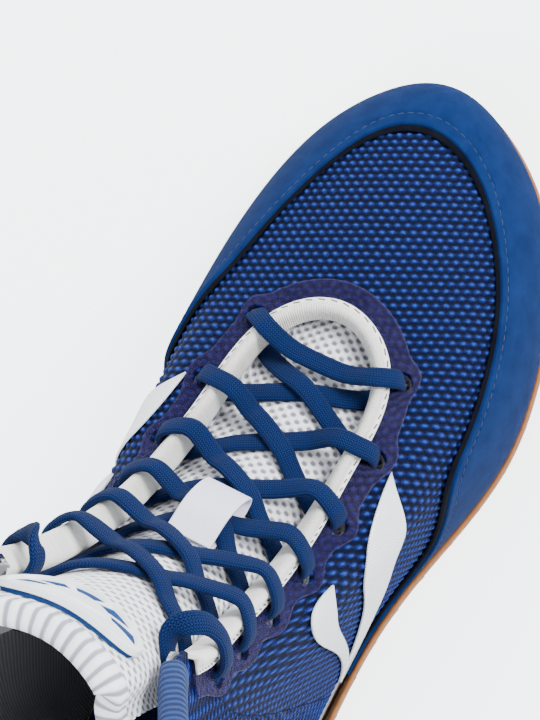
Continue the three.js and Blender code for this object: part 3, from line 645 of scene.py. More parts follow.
def thick(outer, inner, quads):
    """Points and faces of a wall between two like surfaces, closed along every edge, and the
    place in the surfaces that each point comes from."""
    outer, inner = outer.reshape(-1, 3), inner.reshape(-1, 3)
    count = len(outer)
    a, b, edge, place = open_edges(quads, count)
    base, foot = 2 * count, 2 * count + len(edge)
    points = np.concatenate([outer, inner, outer[edge], inner[edge]])
    walls = np.stack([base + place[b], base + place[a], foot + place[a], foot + place[b]], -1)
    source = np.concatenate([np.arange(count), np.arange(count), edge, edge])
    return points, [quads, quads[:, ::-1] + count, walls], source


EYELET_INSET = 10.5
EYELET_RADIUS = 3.1
EYELET_PITCH = 20.3
FIRST_EYELET = 22


EYELET_STATIONS = np.arange(0, THROAT_TOP, 0.01)
EYELETS = np.interp(
    FIRST_EYELET + EYELET_PITCH * np.arange(7),
    distances(last(EYELET_STATIONS, EDGE)),
    EYELET_STATIONS,
)


def punch(surface, quads, others=()):
    """Takes the eyelet holes out of a surface's quads and rounds their edges, on the others too."""
    flat = surface.reshape(-1, 3)
    keep = np.ones(len(quads), bool)
    moves = np.zeros_like(flat)
    for side in (LATERAL, MEDIAL):
        for u in EYELETS:
            h = height_at(side * u, EYELET_INSET)
            centre, axis = last(side * u, h), last_normal(side * u, h)
            away = flat - centre
            depth = away @ axis
            radial = away - depth[:, None] * axis
            distance = np.linalg.norm(radial, axis=1)
            near = (distance < 6) & (np.abs(depth) < 14)
            if not near.any():
                continue
            candidates = np.nonzero(near[quads].all(1))[0]
            middle = radial[quads[candidates]].mean(1)
            in_hole = np.linalg.norm(middle, axis=1) < EYELET_RADIUS
            inside, outside = candidates[in_hole], candidates[~in_hole]
            keep[inside] = False
            edge = np.intersect1d(quads[inside].ravel(), quads[outside].ravel())
            scale = EYELET_RADIUS / np.maximum(distance[edge], 1e-6) - 1
            moves[edge] = radial[edge] * scale[:, None]
    return quads[keep], [(s.reshape(-1, 3) + moves) for s in (surface, *others)]


# ---- Where the knit's rows and columns run ----

SLICE, WEDGE = 2.5, 3.0
ACROSS_ROWS = (0.898, 0.416, 0.143)
ALONG_GIRTH, ALONG_LENGTH = 0.907, 0.421


def girth_table():
    """Distances round the boot from its top line, for slices along it and wedges round it."""
    u, h = np.meshgrid(np.linspace(-HEEL, HEEL, 561), np.linspace(0, EDGE, 141), indexing="ij")
    x, wedge, radius = slice_place(last(u, h))
    i, j = np.rint(x / SLICE).astype(int), np.rint(wedge / WEDGE).astype(int)
    shape = (i.max() + 1, j.max() + 1)
    total, count = np.zeros(shape), np.zeros(shape)
    np.add.at(total, (i, j), radius)
    np.add.at(count, (i, j), 1)
    mean = np.where(count > 0, total / np.maximum(count, 1), np.nan)
    for k in range(shape[0]):
        known = np.nonzero(~np.isnan(mean[k]))[0]
        mean[k] = np.interp(np.arange(shape[1]), known, mean[k][known]) if len(known) else np.nan
    known = np.nonzero(~np.isnan(mean[:, 0]))[0]
    for j in range(shape[1]):
        mean[:, j] = np.interp(np.arange(shape[0]), known, mean[known, j])
    for _ in range(5):
        padded = np.pad(mean, 1, mode="edge")
        mean = sum(padded[a : a + shape[0], b : b + shape[1]] for a in range(3) for b in range(3)) / 9
    turn = np.gradient(mean, math.radians(WEDGE), axis=1)
    girth = np.cumsum(np.hypot(mean, turn), axis=1) * math.radians(WEDGE)
    return girth - girth[:, :1]


def slice_place(point):
    x = point[..., 0]
    y = np.abs(point[..., 1] - LAST_SCALE * rise(TOE_SWING, x / LAST_SCALE))
    z = point[..., 2] - 22
    return x + 150, np.degrees(np.arctan2(y, z)), np.hypot(y, z)


girths = girth_table()


def weave_uv(point):
    """Across the knit's rows, and along them, in millimetres."""
    x, wedge, _ = slice_place(point)
    girth = read_table(girths, x / SLICE, wedge / WEDGE)
    side = np.sign(point[..., 1] - LAST_SCALE * rise(TOE_SWING, point[..., 0] / LAST_SCALE))
    along = ALONG_GIRTH * girth * side - ALONG_LENGTH * point[..., 0]
    return np.stack([point @ np.array(ACROSS_ROWS), along], -1)


def waves(uv, pitch_a, pitch_b):
    return np.cos(2 * np.pi * uv[..., 0] / pitch_a) * np.cos(2 * np.pi * uv[..., 1] / pitch_b)


# ---- Upper ----


def guard_top(u):
    along = np.abs(u)
    front = 2.17 + 0.13 * smooth(along, 1, 3) + 0.36 * np.exp(-(((u + 2.4) / 1.2) ** 2))
    return front - 1.85 * smooth(along, 4.2, 8)


QUARTER_SEAM = 8.8


def bound_edge(u):
    """The height where the upper's layers end inside the throat binding."""
    return height_at(u, 3.3 * (1 - smooth(np.abs(wrapped(u)), 9.3, 9.6)))


def upper_mesh():
    u = stations(-HEEL, HEEL, 0.55, 2.6)[:-1]
    low = np.where(np.abs(u) < 8.5, np.maximum(0.3, guard_top(u) - 0.3), 0.3)
    high = bound_edge(u)
    t = np.linspace(0, 1, 230)
    h = low[:, None] + (high - low)[:, None] * t[None]
    stationed = np.broadcast_to(u[:, None], h.shape)
    base = last(stationed, h)
    uv = weave_uv(base)
    behind = np.abs(u) > QUARTER_SEAM
    round_top = last(u, 3.0)
    girth = np.cumsum(np.linalg.norm(round_top - np.roll(round_top, 1, 0), axis=-1))
    uv[behind] = np.stack(np.broadcast_arrays(base[behind][..., 2], girth[behind][:, None]), -1)
    rows_of_knots = np.cos(4 * np.pi * uv[..., 0] / KNIT_PITCH[0])
    knots = KNOT_SHARE * waves(uv, *KNIT_PITCH) + ROW_SHARE * rows_of_knots
    outer = skin(stationed, h, 3.25 + 0.4 * np.clip(knots, -0.8, 1))
    inner = skin(stationed, h, 2.3)
    quads = grid_quads(*h.shape, wrap_n=True)
    quads, (outer, inner) = punch(outer, quads, (inner,))
    a, b, edge, place = open_edges(quads, len(outer))
    walls = np.stack([b, a, len(outer) + place[a], len(outer) + place[b]], -1)
    points = np.concatenate([outer, inner[edge]])
    flat_uv = uv.reshape(-1, 2)
    return piece("upper_knit", points, [quads, walls], "knit", ["upper_mesh"],
                 np.concatenate([flat_uv, flat_uv[edge]]))


def shell(name, u, heights_of, rows, layer, finish, nodes, uv_of="top", wrap=False, holes=False,
          swollen=True, round_edge=0.0, groove_at=None):
    """A panel of the upper. heights_of gives the low and high edge at each station, layer how far
    off the last its two faces lie."""
    low, high = heights_of(u)
    t = np.linspace(0, 1, rows)
    if round_edge:
        t = 1 - (1 - t) ** 1.6
    h = low[:, None] + (high - low)[:, None] * t[None]
    stationed = np.broadcast_to(u[:, None], h.shape)
    base = last(stationed, h)
    below = distances(np.swapaxes(base, 0, 1)).T
    from_top = below[:, -1:] - below
    along = np.broadcast_to(distances(base[:, rows // 2])[:, None], h.shape)
    outside = np.full(h.shape, layer[1])
    if round_edge:
        near = np.clip(1 - from_top / round_edge, 0, 1)
        outside = outside - (layer[1] - layer[0]) * 0.75 * (1 - np.sqrt(1 - near**2))
    if groove_at:
        outside = outside - 0.3 * np.exp(-(((from_top - groove_at) / 0.4) ** 2))
    outer = skin(stationed, h, outside, swollen)
    inner = skin(stationed, h, layer[0], swollen)
    quads = grid_quads(*h.shape, wrap_n=wrap)
    if holes:
        quads, (outer, inner) = punch(outer, quads, (inner,))
    points, faces, source = thick(outer, inner, quads)
    if uv_of == "weave":
        uv = weave_uv(base)
    else:
        uv = np.stack([along, below if uv_of == "low" else from_top], -1)
    return piece(name, points, faces, finish, nodes, uv.reshape(-1, 2)[source])


def edges(low, high):
    """Constant low and high heights, or functions of the station."""
    def both(u):
        return tuple(np.broadcast_to(v(u) if callable(v) else float(v), u.shape) for v in (low, high))
    return both


STITCH_LENGTH, STITCH_GAP, STITCH_RADIUS = 2.3, 0.75, 0.2
STITCH_SIDES, STITCH_RINGS = 6, 7


def stitch_row(name, points, normals):
    """Short threads laid along a row of points, each dipping in at its ends."""
    gone = distances(points)
    starts = np.arange(STITCH_GAP, gone[-1] - STITCH_LENGTH - STITCH_GAP, STITCH_LENGTH + STITCH_GAP)
    t = np.linspace(0, 1, STITCH_RINGS)
    at = starts[:, None] + STITCH_LENGTH * t[None]
    centre = columns_at(at, gone, points)
    normal = unit(columns_at(at, gone, normals))
    forward = unit(np.gradient(centre, axis=1))
    side = unit(np.cross(normal, forward))
    bulge = 1 - (2 * t - 1) ** 4
    swell = np.sqrt(np.clip(bulge, 0.02, 1))
    angle = np.linspace(0, 2 * np.pi, STITCH_SIDES, endpoint=False)
    dip = bulge * STITCH_RADIUS * 0.9
    ring = (
        centre[:, :, None]
        + normal[:, :, None] * (dip[None, :, None, None])
        + (side[:, :, None] * np.cos(angle)[:, None] + normal[:, :, None] * np.sin(angle)[:, None])
        * STITCH_RADIUS * swell[None, :, None, None]
    )
    firsts = STITCH_RINGS * STITCH_SIDES * np.arange(len(starts))
    quads = np.concatenate([grid_quads(STITCH_RINGS, STITCH_SIDES, wrap_m=True) + k for k in firsts])
    caps = np.arange(STITCH_SIDES)[None] + firsts[:, None]
    last_ring = (STITCH_RINGS - 1) * STITCH_SIDES
    return piece(name, ring, [quads, caps[:, ::-1], caps + last_ring], "thread")


def below_top(u, top, distance):
    """The height that lies a distance below a panel's top edge."""
    step = 0.004
    rate = np.linalg.norm(last(u, top) - last(u, top - step), axis=-1) / step
    return top - distance / rate


def stitch_panel(name, u, top, inset, offset):
    h = below_top(u, top(u), inset)
    stitch_row(name, skin(u, h, offset), last_normal(u, h))


upper_mesh()

PANEL_FOOT = 0.2
GUARD_END = 8.5
GUARD_STITCH_INSET = 4.2
guard_u = stations(-GUARD_END, GUARD_END, 0.55, 1.8)
shell("toe_guard_suede", guard_u, edges(PANEL_FOOT, guard_top), 70, (4.95, 6.0), "suede", ["toe_guard"],
      round_edge=0.7, groove_at=GUARD_STITCH_INSET)
# The backing reaches a little above the suede, so its dark edge draws the line between guard and knit: partly
# a real dark edge, partly painted shade.
shell("toe_guard_backing_felt_and_shade", guard_u[::2], edges(PANEL_FOOT, lambda u: guard_top(u) + 0.045), 24,
      (4.0, 4.95), "backing", ["toe_guard_backing"], round_edge=0.4)
stitch_panel("toe_guard_stitching", guard_u[(np.abs(guard_u) < 7.2)], guard_top, GUARD_STITCH_INSET, 5.72)


def film_edge(u):
    """How far the film reaches from the edge: further round each eyelet."""
    nearest = np.min(np.abs(np.abs(u)[:, None] - EYELETS[None]), axis=1)
    return 13.2 + 3.0 * np.cos(np.pi * np.clip(nearest, 0, 1)) ** 2 * (nearest < 0.5)


THROAT_END = 9.5
shell("eyestay_film_sheet", stations(-THROAT_END, THROAT_END, 0.5, 3.6),
      edges(lambda u: height_at(u, film_edge(u)), lambda u: height_at(u, 3.8)), 34, (4.1, 4.5), "film",
      ["eyestay_film"], uv_of="low", holes=True)


def heel_top(u):
    return 1.9 - 1.2 * smooth(np.abs(u - HEEL), 0.5, 3)


HEEL_STITCH_INSET = 3.0
heel_u = stations(11, 17, 0.6, 1.5)
shell("heel_overlay_suede", heel_u, edges(PANEL_FOOT, heel_top), 60, (3.9, 5.0), "suede", ["heel_overlay"],
      round_edge=0.6, groove_at=HEEL_STITCH_INSET)
stitch_panel("heel_overlay_stitching", heel_u, heel_top, HEEL_STITCH_INSET, 4.75)
shell("back_stay_webbing", stations(13.6, 14.4, 0.5, 3), edges(2.0, 3.72), 120, (3.6, 4.8), "webbing",
      ["back_stay"], round_edge=0.4)
shell("lining_fabric", stations(-HEEL, HEEL, 1.6, 2.6)[:-1], edges(PANEL_FOOT, bound_edge), 70, (0.0, 0.8),
      "lining", ["lining"], "weave", wrap=True, holes=True, swollen=False)

SIDES = ((LATERAL, "lateral"), (MEDIAL, "medial"))
for side, word in SIDES:
    shell(f"eyestay_stiffener_{word}", stations(side * 1.0, side * THROAT_END, 1.2, 3.5),
          edges(3.0, bound_edge), 26, (1.2, 1.9), "lining", [f"eyestay_reinforcement_{word}"], holes=True,
          swollen=False)


# ---- Bindings ----

THROAT_PROFILE = [
    (6.5, 4.75), (6.7, 5.15), (6.6, 5.5), (6.2, 5.6), (5.7, 5.5), (5.3, 5.55), (5.0, 6.0), (4.4, 6.7),
    (3.6, 7.0), (2.8, 6.8), (2.1, 6.1), (1.75, 5.0), (1.65, 3.4), (1.65, 1.8), (1.7, 0.4), (2.1, -0.7),
    (3.0, -1.3), (4.2, -1.55), (5, -1.6), (5.1, -1.1), (4.2, -1.05), (3.3, -0.7), (2.8, 0.0),
    (2.6, 1.2), (2.5, 2.6), (2.6, 3.8), (3.0, 4.6), (4.6, 4.8),
]
COLLAR_PROFILE = [
    (6.0, 4.1), (6.2, 4.6), (5.4, 4.95), (3, 5.1), (0.8, 4.9), (-0.7, 4.2), (-1.5, 3.0), (-1.5, 1.2),
    (-0.9, -0.2), (0.4, -1.1), (3, -1.7), (8, -2.0), (8.1, -1.3), (3, -0.9), (0.4, -0.5), (-0.5, 0.8),
    (-0.4, 3), (0.6, 3.8), (3, 4.0),
]


def profiled(points, spacing):
    """A closed profile, rounded and evenly stepped."""
    points = np.array(points, float)
    lapped = np.concatenate([points[-4:], points, points[:5]])
    t = np.linspace(4, len(points) + 4, 1200)
    curve = spline(lapped, t)
    return columns_at(evenly(curve, spacing), np.arange(len(curve)), curve)[:-1]


def binding(name, start, end, profile, spacing, across, finish, node, rib):
    """A ribbed roll along the edge: rib is its ribs' pitch, their depth and how far down they go."""
    u = stations(start, end, spacing, EDGE)
    section = profiled(profile, across)
    away = section[:, 0]
    along = distances(rim(u, 0, 0))
    pitch, depth, reach = rib
    turn = np.gradient(section, axis=0)
    out = unit(np.stack([turn[:, 1], -turn[:, 0]], -1))
    if ((section - section.mean(0)) * out).sum() < 0:
        out = -out
    raised = (away < reach)[None] * (depth * np.cos(2 * np.pi * along / pitch))[:, None]
    rows = section[None] + out[None] * raised[..., None]
    points = rim(u[:, None], rows[..., 0], rows[..., 1])
    uv = np.stack(np.broadcast_arrays(along[:, None], away[None]), -1)
    return piece(name, points, tube_faces(points), finish, [node], uv)


binding("throat_binding_tape", -THROAT_END, THROAT_END, THROAT_PROFILE, 0.16, 0.45, "binding",
        "throat_binding", (THROAT_RIB, 0.06, 5.0))
binding("collar_binding_tape", 10, 18, COLLAR_PROFILE, 0.3, 0.5, "collar_knit", "collar_binding",
        (1.2, 0.08, 9))


# ---- Side chevrons ----


def blade(name, side, tip, foot, half_width, bow, offset, nodes):
    share = np.linspace(0, 1, 200)
    u, h = (np.interp(share, (0, 1), (tip[k], foot[k])) for k in range(2))
    h = h + bow * np.sin(np.pi * share)
    narrowed = 1 - 0.35 * smooth(share, 0.35, 1)
    spread = half_width * narrowed * (1 - np.clip(1 - share / 0.3, 0, 1) ** 1.7)
    k = np.linspace(-1, 1, 25)
    u = side * (u[:, None] - 0.2 * spread[:, None] * k)
    h = h[:, None] + spread[:, None] * k
    rounded = 0.3 * np.clip((np.abs(k) - 0.85) / 0.15, 0, 1) ** 2
    outer = skin(u, h, offset + 0.45 - rounded[None])
    inner = skin(u, h, offset - 0.3)
    points, faces, source = thick(outer, inner, grid_quads(*u.shape))
    if side == MEDIAL:
        faces = [f[:, ::-1] for f in faces]
    uv = np.stack(np.broadcast_arrays(share[:, None] * 110, k * 5.5), -1).reshape(-1, 2)
    return piece(name, points, faces, "chevron", nodes, uv[source])


CHEVRON_FOOT = (8.6, 0.8)
for side, word in SIDES:
    blade(f"chevron_front_{word}", side, (3.85, 3.21), CHEVRON_FOOT, 0.25, 0.26, 4.2,
          [f"side_chevron_{word}"])
    blade(f"chevron_rear_{word}", side, (5.98, 3.05), CHEVRON_FOOT, 0.21, 0.45, 4.0, [])


# ---- Sole ----


def outline(offset, level, u):
    """The sole's edge at a level, that far outside the last."""
    point = last(u, 0)
    spring = rise(TOE_SPRING, point[..., 0])
    point = point + last_normal(u, 0) * np.broadcast_to(offset, u.shape)[..., None]
    point[..., 2] = level + spring
    return point


def across_sole(offset, level, half, share):
    """The surface between the medial edge, where share is 0, and the lateral edge."""
    share = share[None, :, None]
    medial, lateral = outline(offset, level, -half), outline(offset, level, half)
    return medial[:, None] * (1 - share) + lateral[:, None] * share


def sole_stations(spacing):
    return stations(0.02, HEEL - 0.02, spacing, 0)


NOTCH_PITCH = 13.6
HERRING_PITCH = 9


def outsole():
    u = stations(-HEEL, HEEL, 0.6, 0)[:-1]
    along = distances(last(u, 0))
    pitch = along[-1] / round(along[-1] / NOTCH_PITCH)
    notch = 1.17 * (along / pitch % 1) * (np.abs(u) > 1.2)
    flare = 1.2 * smooth(np.abs(u), 1, 3)
    rings = [
        outline(4.2, 0, u),
        outline(6.0 - notch * 0.5, 0.35, u),
        outline(7.2 - notch + flare, 1.1, u),
        outline(7.7 - notch + flare, 2.4, u),
        skin(u, 0, 7.8 - notch + flare),
        skin(u, 0.12, 7.8 - notch + flare * 0.9),
        skin(u, 0.2, 7.9 - notch * 0.3 + flare * 0.7),
        skin(u, 0.24, 7.95 + flare * 0.5),
        skin(u, 0.4, 7.7),
        skin(u, 0.43, 7.3),
        skin(u, 0.42, 6.5),
        skin(u, 0.02, 6.4),
        outline(6.3, 3.0, u),
    ]
    wall = np.stack(rings, 1)
    # The underside has a tread of fine grooves and a raised waist.
    half = sole_stations(0.8)
    t = np.linspace(0, 1, 110)
    under = across_sole(5.2, 0, half, t)
    x, y = under[..., 0], under[..., 1]
    herring = np.abs((np.abs(y + 3) * 0.9 + x) % HERRING_PITCH - HERRING_PITCH / 2)
    edge = np.minimum(t, 1 - t)[None] * np.linalg.norm(under[:, :1] - under[:, -1:], axis=-1)
    groove = smooth(1.1 - herring, 0, 0.8) * smooth(edge, 5, 7)
    waist = smooth(x, -45, -35) * (1 - smooth(x, 5, 15))
    under[..., 2] += 1.1 * groove * (1 - waist) + 0.7 * waist * smooth(edge, 5, 8)
    inside = across_sole(4.0, 2.8, half, t[::10])
    surfaces = [wall, under, inside]
    firsts = np.cumsum([0] + [s.shape[0] * s.shape[1] for s in surfaces])
    faces = [
        grid_quads(*wall.shape[:2], wrap_n=True),
        grid_quads(*under.shape[:2]) + firsts[1],
        grid_quads(*inside.shape[:2])[:, ::-1] + firsts[2],
    ]
    points = np.concatenate([s.reshape(-1, 3) for s in surfaces])
    return piece("outsole_rubber", points, faces, "gum", ["outsole"])


outsole()


def sole_layer(name, offset, levels, finish, node):
    half = sole_stations(1.5)
    bottom, top = (across_sole(offset, level, half, np.linspace(0, 1, 60)) for level in levels)
    points, faces, _ = thick(top, bottom, grid_quads(*top.shape[:2])[:, ::-1])
    return piece(name, points, faces, finish, [node])


sole_layer("midsole_sheet", 5.2, (3.3, 5.4), "midsole_foam", "midsole")
sole_layer("lasting_board_sheet", -0.5, (6.0, 7.4), "board", "lasting_board")
sole_layer("insole_sheet", -0.5, (7.7, 11.4), "insole_foam", "insole")
sole_layer("insole_cover_fabric", -0.5, (11.7, 12.3), "insole_fabric", "insole_cover")
for name, node, start, end in (
    ("toe_puff_shell", "toe_puff", -3.5, 3.5),
    ("heel_counter_shell", "heel_counter", 10.5, 17.5),
):
    shell(name, stations(start, end, 1.5, 1), edges(0, 2.0), 30, (1.2, 1.8), "stiffener", [node],
          swollen=False)
collar_foam = shell("collar_padding_foam", stations(10.5, 17.5, 1.2, 3), edges(2.5, 3.97), 40, (1.0, 1.9),
                    "padding", ["collar_padding"])


# ---- Tongue ----

TONGUE_STATIONS = np.array([2.2, 3.2, 4.5, 6, 7.5, 9, 10])
TONGUE_DROP = 5.6
TONGUE_RISE = 18
MIDDLE = 3


def tongue_section(u):
    edge_drop = TONGUE_DROP - 0.3
    places = ((MEDIAL, 16, TONGUE_DROP), (MEDIAL, 8, TONGUE_DROP), (MEDIAL, 0, edge_drop),
              (LATERAL, 0, edge_drop), (LATERAL, 8, TONGUE_DROP), (LATERAL, 16, TONGUE_DROP))
    across = [rim(side * u, away, -drop) for side, away, drop in places]
    up = unit(last_normal(u, EDGE) + last_normal(-u, EDGE))
    arch = 3.6 + 2.4 * smooth(u, 1, 8)
    return np.array([*across[:3], (across[2] + across[3]) / 2 + up * arch, *across[3:]])


def tongue_net():
    front = skin(np.arange(-3, 4) * 0.45, 3.5, -TONGUE_DROP)
    sections = [front] + [tongue_section(u) for u in TONGUE_STATIONS]
    ahead = unit(sections[-1][MIDDLE] - sections[-2][MIDDLE])
    sections.append(sections[-1] + ahead * TONGUE_RISE)
    return np.array(sections)


TONGUE = tongue_net()
TONGUE_ROWS = len(TONGUE) - 1


def tongue_surface(row, column):
    row, column = np.broadcast_arrays(np.asarray(row, float), np.asarray(column, float))
    return spline_across(np.stack([spline(TONGUE[:, k], row) for k in range(TONGUE.shape[1])]), column)


def tongue_normal(row, column):
    step = 0.01
    along = tongue_surface(row + step, column) - tongue_surface(row - step, column)
    across = tongue_surface(row, column + step) - tongue_surface(row, column - step)
    return unit(np.cross(along, across))


def tongue(row, column, offset):
    return tongue_surface(row, column) + tongue_normal(row, column) * np.asarray(offset, float)[..., None]


def row_of_station(u):
    return 1 + np.interp(u, TONGUE_STATIONS, np.arange(len(TONGUE_STATIONS)))


TONGUE_SIDES = (0.1, 5.9)


def tongue_grid(start, end, spacing, columns):
    rows = np.linspace(start, end, 500)
    steps = evenly(tongue_surface(rows, MIDDLE), spacing)
    rows = np.interp(steps, np.arange(500), rows)
    r, c = np.meshgrid(rows, np.linspace(*TONGUE_SIDES, columns), indexing="ij")
    surface = tongue_surface(r, c)
    along = distances(surface[:, columns // 2])
    width = distances(np.swapaxes(surface, 0, 1)).T
    across = width - width[:, columns // 2][:, None]
    return r, c, np.stack(np.broadcast_arrays(along[:, None], across), -1)


def tongue_layer(name, layer, spacing, columns, finish, node, relief=0.0):
    r, c, uv = tongue_grid(0, TONGUE_ROWS - 0.06, spacing, columns)
    holes = relief * np.clip(waves(uv, *MESH_PITCH), 0, 1)
    outer, inner = tongue(r, c, layer[1] - holes), tongue(r, c, layer[0])
    points, faces, source = thick(outer, inner, grid_quads(*r.shape)[:, ::-1])
    return piece(name, points, faces, finish, [node], uv.reshape(-1, 2)[source])


tongue_layer("tongue_spacer", (-1.2, 0.1), 0.5, 150, "spacer_mesh", "tongue_mesh", 0.7)
padding = tongue_layer("tongue_padding", (-3.9, -1.3), 2.0, 40, "padding", "tongue_foam")
tongue_layer("tongue_lining_fabric", (-4.8, -4.1), 1.5, 50, "lining", "tongue_lining")


TONGUE_TOP_PROFILE = [
    (-4.6, 0.5), (-2, 0.7), (0, 0.9), (1.5, 0.4), (2.1, -1.2), (2.1, -3.4), (1.2, -5.0), (-0.5, -5.6),
    (-4.6, -5.9), (-4.7, -5.2), (-0.6, -4.9), (0.8, -4.0), (1.3, -2.4), (0.8, -0.6), (-0.6, 0.1),
    (-3.0, 0.0),
]


def tongue_top():
    columns = np.linspace(*TONGUE_SIDES, 260)
    surface = tongue_surface(TONGUE_ROWS, columns)
    above = unit(surface - tongue_surface(TONGUE_ROWS - 0.1, columns))
    back = unit(tongue_surface(TONGUE_ROWS - 0.3, columns) - surface)
    along = distances(surface)
    ribs = 1 + 0.03 * np.cos(2 * np.pi * along / 1.5)
    lift, offset = (column[None, :, None] for column in profiled(TONGUE_TOP_PROFILE, 0.4).T)
    rings = (
        surface[:, None]
        + np.maximum(lift, 0) * above[:, None] * ribs[:, None, None]
        - np.minimum(lift, 0) * back[:, None]
        + tongue_normal(TONGUE_ROWS, columns)[:, None] * offset
    )
    uv = np.stack(np.broadcast_arrays(along[:, None], 9 + 0 * lift[..., 0]), -1)
    return piece("tongue_top_edge", rings, tube_faces(rings), "spacer_mesh", ["tongue_top_binding"], uv)


tongue_top()


# ---- Lace ----

LACE_WIDTH = 6.2
LACE_THICKNESS = 2.5
OVER_BINDING = 8.4
UNDER_LINING = -3.3
ON_TONGUE = 1.6
CROSSING_LIFT = 2.8
KEEPER_ROW = 3
KEEPER_SPACE = 1.4
TUCK_STATION = 0.5


def rim_place(u, away, offset):
    return rim(u, away, offset), last_normal(u, height_at(u, away) if away > 0 else EDGE)


def tongue_place(u, column, offset):
    row = row_of_station(u)
    return tongue(row, column, offset), tongue_normal(row, column)


def hole(side, row, offset, nearer):
    return rim_place(side * EYELETS[row], EYELET_INSET - nearer, offset)


def out_of_hole(side, row):
    return [hole(side, row, -2.5, 2.2), hole(side, row, -0.4, 0.2), hole(side, row, 4.4, 0.2),
            hole(side, row, 7.1, 2)]


def crossing_tools(side, row):
    """A station on the way to the next eyelet, a place on the tongue there, and the strand's lift."""
    def station(share):
        return EYELETS[row] + (EYELETS[row + 1] - EYELETS[row]) * share

    def on(share, offset):
        return tongue_place(station(share), MIDDLE + side * (1 - 2 * share), offset)

    return station, on, CROSSING_LIFT if side == MEDIAL else 0


def crossing(side, row):
    station, on, lift = crossing_tools(side, row)
    keeper = KEEPER_SPACE if row == KEEPER_ROW else 0
    top = ON_TONGUE + lift + keeper
    return [
        rim_place(side * station(0.06), 4, OVER_BINDING),
        rim_place(side * station(0.1), 0.5, OVER_BINDING),
        rim_place(side * station(0.15), -3.2, 7.0),
        on(0.26, 5),
        on(0.36, top + 1),
        on(0.5, top),
        on(0.62, ON_TONGUE + lift * 0.8 + keeper * 1.2),
        on(0.74, ON_TONGUE + 0.4 + keeper * 0.3),
        on(0.86, ON_TONGUE + 0.5),
        rim_place(-side * station(0.92), 1, UNDER_LINING),
        rim_place(-side * station(0.96), 5, UNDER_LINING),
        *out_of_hole(-side, row + 1),
    ]


def lace_bar():
    u = EYELETS[0]
    return [
        *out_of_hole(MEDIAL, 0)[1:],
        rim_place(MEDIAL * u, 4, OVER_BINDING),
        rim_place(MEDIAL * u, 0, OVER_BINDING),
        tongue_place(u, MIDDLE - 0.4, 6.6),
        tongue_place(u, MIDDLE + 0.4, 6.6),
        rim_place(LATERAL * u, 0, OVER_BINDING),
        rim_place(LATERAL * u, 4, OVER_BINDING),
        *out_of_hole(LATERAL, 0)[1:][::-1],
    ]


def under_crossing(side):
    station, on, lift = crossing_tools(side, 0)
    return [
        hole(side, 0, -2.5, 2.2),
        rim_place(side * station(0.08), 5, UNDER_LINING),
        rim_place(side * station(0.14), 0.5, UNDER_LINING),
        on(0.3, ON_TONGUE + lift * 0.6),
        on(0.5, ON_TONGUE + lift),
        on(0.7, ON_TONGUE + lift * 0.6),
        rim_place(-side * station(0.86), 0.5, UNDER_LINING),
        rim_place(-side * station(0.92), 5, UNDER_LINING),
        *out_of_hole(-side, 1),
    ]


TUCK = [(4, OVER_BINDING, 0.2), (0, OVER_BINDING, 0.4), (-4.2, 6, 0.7), (-5.2, 2, 1), (-3.6, -1.9, 1),
        (1, -3.3, 1), (8, -3.5, 1), (18, -3.4, 1), (28, -3.4, 1), (38, -4, 1)]


def tucked_end(side):
    return [rim_place(side * (EYELETS[-1] + TUCK_STATION * share), away, offset)
            for away, offset, share in TUCK]


def strand(side):
    places, start = under_crossing(side), -side
    for row in range(1, 6):
        places += crossing(start, row)
        start = -start
    return places + tucked_end(start)


def eased(route, spread, closed):
    """The route with its corners rounded, by a weighted mean of the points about each one."""
    reach = int(3 * spread) + 1
    weights = np.exp(-0.5 * (np.arange(-reach, reach + 1) / spread) ** 2)
    padded = np.pad(route, ((reach, reach), (0, 0)), mode="wrap" if closed else "edge")
    return np.stack([np.convolve(padded[:, k], weights / weights.sum(), "valid") for k in range(3)], -1)


EASE = 1.7
SIDE_MEMORY = 3.0


def ribbon(name, places, width, thickness, finish, nodes, spacing, section, closed=False, body="boot"):
    """A flat strip whose width stays square to its route and level with the surface below.
    section is (across, up) for each point round it, in widths and thicknesses."""
    points, facing = (np.array(values) for values in zip(*places))
    lap = 4 if closed else 0
    if closed:
        points, facing = (np.concatenate([v[-lap:], v, v[: lap + 1]]) for v in (points, facing))
    fine = np.linspace(lap, len(places) + lap if closed else len(places) - 1, 40 * len(places))
    route = route_through(points, fine)
    faces_up = columns_at(fine, np.arange(len(points)), facing)
    steps = evenly(route, spacing)
    if closed:
        steps = steps[:-1]
    at = np.arange(len(fine))
    faces_up = unit(columns_at(steps, at, faces_up))
    route = eased(columns_at(steps, at, route), EASE / spacing, closed)
    if closed:
        forward = unit(np.roll(route, -1, 0) - np.roll(route, 1, 0))
    else:
        forward = unit(np.gradient(route, axis=0))
    wanted = np.cross(faces_up, forward)
    side, sides = wanted[0], []
    memory = math.exp(-spacing / SIDE_MEMORY)
    for want, ahead in zip(wanted, forward):
        turn = -1 if want @ side < 0 else 1
        side = side * memory + want * turn * (1 - memory)
        side = side - ahead * (side @ ahead)
        side = side / np.linalg.norm(side)
        sides.append(side)
    sides = np.array(sides)
    x, y = section.T
    rings = (
        route[:, None]
        + sides[:, None] * (x * width)[None, :, None]
        + np.cross(forward, sides)[:, None] * (y * thickness)[None, :, None]
    )
    along, around = distances(route), distances(section * (width, thickness))
    uv = np.stack(np.broadcast_arrays(along[:, None], around[None]), -1)
    return piece(name, rings, tube_faces(rings, closed), finish, nodes, uv, body=body)


